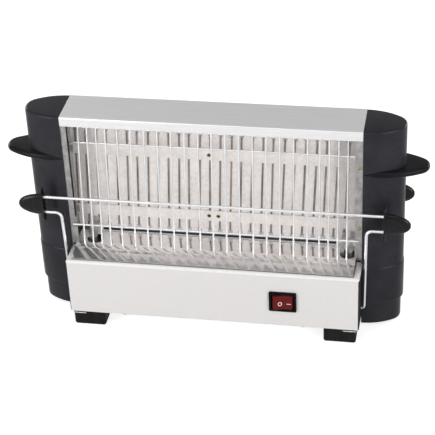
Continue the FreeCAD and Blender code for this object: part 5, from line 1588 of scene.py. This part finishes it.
def seen_share(tree, mirror_share):
    """1 for camera and glass rays, and a share of it for mirror rays."""
    rays = tree.nodes.new("ShaderNodeLightPath")
    clear = tree.nodes.new("ShaderNodeMath")
    clear.operation = "MAXIMUM"
    tree.links.new(rays.outputs["Is Camera Ray"], clear.inputs[0])
    tree.links.new(rays.outputs["Is Transmission Ray"], clear.inputs[1])
    mirror = tree.nodes.new("ShaderNodeMath")
    mirror.operation = "MULTIPLY"
    mirror.inputs[1].default_value = mirror_share
    tree.links.new(rays.outputs["Is Glossy Ray"], mirror.inputs[0])
    seen = tree.nodes.new("ShaderNodeMath")
    seen.operation = "MAXIMUM"
    tree.links.new(clear.outputs["Value"], seen.inputs[0])
    tree.links.new(mirror.outputs["Value"], seen.inputs[1])
    return seen.outputs["Value"]


def make_floor_finish(studio):
    """Pale floor that the camera sees as white, with the part's shadow on it."""
    material = bpy.data.materials.new("studio_floor")
    material.use_nodes = True
    tree = material.node_tree
    shader = tree.nodes["Principled BSDF"]
    shader.inputs["Base Color"].default_value = (*[studio.floor_level] * 3, 1)
    shader.inputs["Roughness"].default_value = 0.7
    shader.inputs["Emission Color"].default_value = (1, 1, 1, 1)
    level = tree.nodes.new("ShaderNodeMath")
    level.operation = "MULTIPLY"
    level.inputs[1].default_value = studio.floor_glow
    tree.links.new(seen_share(tree, studio.mirror_share), level.inputs[0])
    tree.links.new(level.outputs["Value"], shader.inputs["Emission Strength"])
    return material


def make_world(level, mirror_share):
    """Even pale light all round, which the camera, glass and partly mirrors see as white."""
    world = bpy.data.worlds.new("studio_world")
    bpy.context.scene.world = world
    world.use_nodes = True
    tree = world.node_tree
    tree.nodes.clear()
    output = tree.nodes.new("ShaderNodeOutputWorld")
    mix = tree.nodes.new("ShaderNodeMixShader")
    tree.links.new(seen_share(tree, mirror_share), mix.inputs["Fac"])
    for socket, strength in ((1, level), (2, 1.0)):
        light = tree.nodes.new("ShaderNodeBackground")
        light.inputs["Color"].default_value = (1, 1, 1, 1)
        light.inputs["Strength"].default_value = strength
        tree.links.new(light.outputs["Background"], mix.inputs[socket])
    tree.links.new(mix.outputs["Shader"], output.inputs["Surface"])


def add_lamp(name, place, target, size, power):
    """Rectangular lamp that shines at a target."""
    lamp = bpy.data.lights.new(name, "AREA")
    lamp.shape = "RECTANGLE"
    lamp.size, lamp.size_y = size
    lamp.energy = power
    holder = bpy.data.objects.new(name, lamp)
    holder.location = place
    holder.rotation_mode = "QUATERNION"
    holder.rotation_quaternion = (Vector(target) - Vector(place)).to_track_quat("-Z", "Y")
    bpy.context.scene.collection.objects.link(holder)


# Sensor that the lens's focal length is given for, in millimetres
SENSOR_WIDTH = 36


def add_camera(studio):
    """Camera at the photograph's viewing angle."""
    azimuth, elevation = studio.azimuth, studio.elevation
    sight = Vector((-math.sin(azimuth) * math.cos(elevation), math.cos(azimuth) * math.cos(elevation),
                    -math.sin(elevation)))
    level = Vector((math.cos(azimuth), math.sin(azimuth), 0))
    upright = level.cross(sight)
    right = level * math.cos(studio.roll) + upright * math.sin(studio.roll)
    up = right.cross(sight)
    data = bpy.data.cameras.new("photo_camera")
    data.lens = studio.lens
    data.sensor_width = SENSOR_WIDTH
    camera = bpy.data.objects.new("photo_camera", data)
    turn = Matrix((right, up, -sight)).transposed().to_4x4()
    camera.matrix_world = Matrix.Translation(studio.camera_place) @ turn
    bpy.context.scene.collection.objects.link(camera)
    bpy.context.scene.camera = camera


# Floor and lamps in metres: each lamp's name, place, size and the setting that holds its power
FLOOR_SIZE = 12.0
LAMP_TARGET = (0, 0, 0.1)
LAMPS = (
    ("key_lamp", (-1.0, -1.02, 0.52), (0.6, 0.7), "key_power"),
    ("fill_lamp", (1.1, -0.92, 0.5), (0.55, 0.6), "fill_power"),
    ("strip_lamp", (-0.2, -0.95, 1.55), (1.6, 0.2), "strip_power"),
    ("rear_left_lamp", (-1.15, 0.95, 0.4), (0.9, 0.75), "rear_power"),
    ("rear_right_lamp", (1.15, 0.95, 0.4), (0.9, 0.75), "rear_power"),
)


class TOASTER_OT_studio(bpy.types.Operator):
    """Set the floor, the lamps and the camera"""
    bl_idname = "toaster.studio"
    bl_label = "Studio"

    def execute(self, context):
        studio = context.scene.toaster_studio
        half = FLOOR_SIZE / 2
        corners = [(-half, -half, 0), (half, -half, 0), (half, half, 0), (-half, half, 0)]
        floor = mesh_piece("studio_floor", corners, [(0, 1, 2, 3)])
        floor.data.materials.append(make_floor_finish(studio))
        make_world(studio.world_level, studio.mirror_share)
        for name, place, size, power in LAMPS:
            add_lamp(name, place, LAMP_TARGET, size, getattr(studio, power))
        add_camera(studio)
        context.scene.view_settings.view_transform = "Standard"
        return {"FINISHED"}


class TOASTER_PT_panel(bpy.types.Panel):
    """Lists the steps that build the toaster"""
    bl_idname = "TOASTER_PT_panel"
    bl_label = "Vertical toaster"
    bl_space_type = "VIEW_3D"
    bl_region_type = "UI"
    bl_category = "Toaster"

    def draw(self, context):
        for operator in OPERATORS:
            self.layout.operator(operator.bl_idname)


SETTINGS = {
    "toaster_wires": WireSizes,
    "toaster_grips": GripSizes,
    "toaster_element": ElementSizes,
    "toaster_caps": CapSizes,
    "toaster_base": BaseSizes,
    "toaster_plate": PlateSizes,
    "toaster_rocker": RockerSizes,
    "toaster_fasteners": FastenerSizes,
    "toaster_colours": FinishColours,
    "toaster_studio": StudioSettings,
}
OPERATORS = (
    TOASTER_OT_sheet_metal,
    TOASTER_OT_base,
    TOASTER_OT_end_caps,
    TOASTER_OT_wire_grids,
    TOASTER_OT_holders,
    TOASTER_OT_heating_card,
    TOASTER_OT_fasteners,
    TOASTER_OT_rocker,
    TOASTER_OT_studio,
)
CLASSES = (*SETTINGS.values(), *OPERATORS, TOASTER_PT_panel)


def register():
    """Add the classes and their settings to the session."""
    for item in CLASSES:
        bpy.utils.register_class(item)
    for name, group in SETTINGS.items():
        setattr(bpy.types.Scene, name, PointerProperty(type=group))


def unregister():
    """Take the settings and the classes away again."""
    for name in SETTINGS:
        delattr(bpy.types.Scene, name)
    for item in reversed(CLASSES):
        bpy.utils.unregister_class(item)


def main():
    """Build the toaster step by step."""
    register()
    for operator in OPERATORS:
        step = operator.bl_idname.split(".")[1]
        getattr(bpy.ops.toaster, step)()


if __name__ == "__main__":
    main()
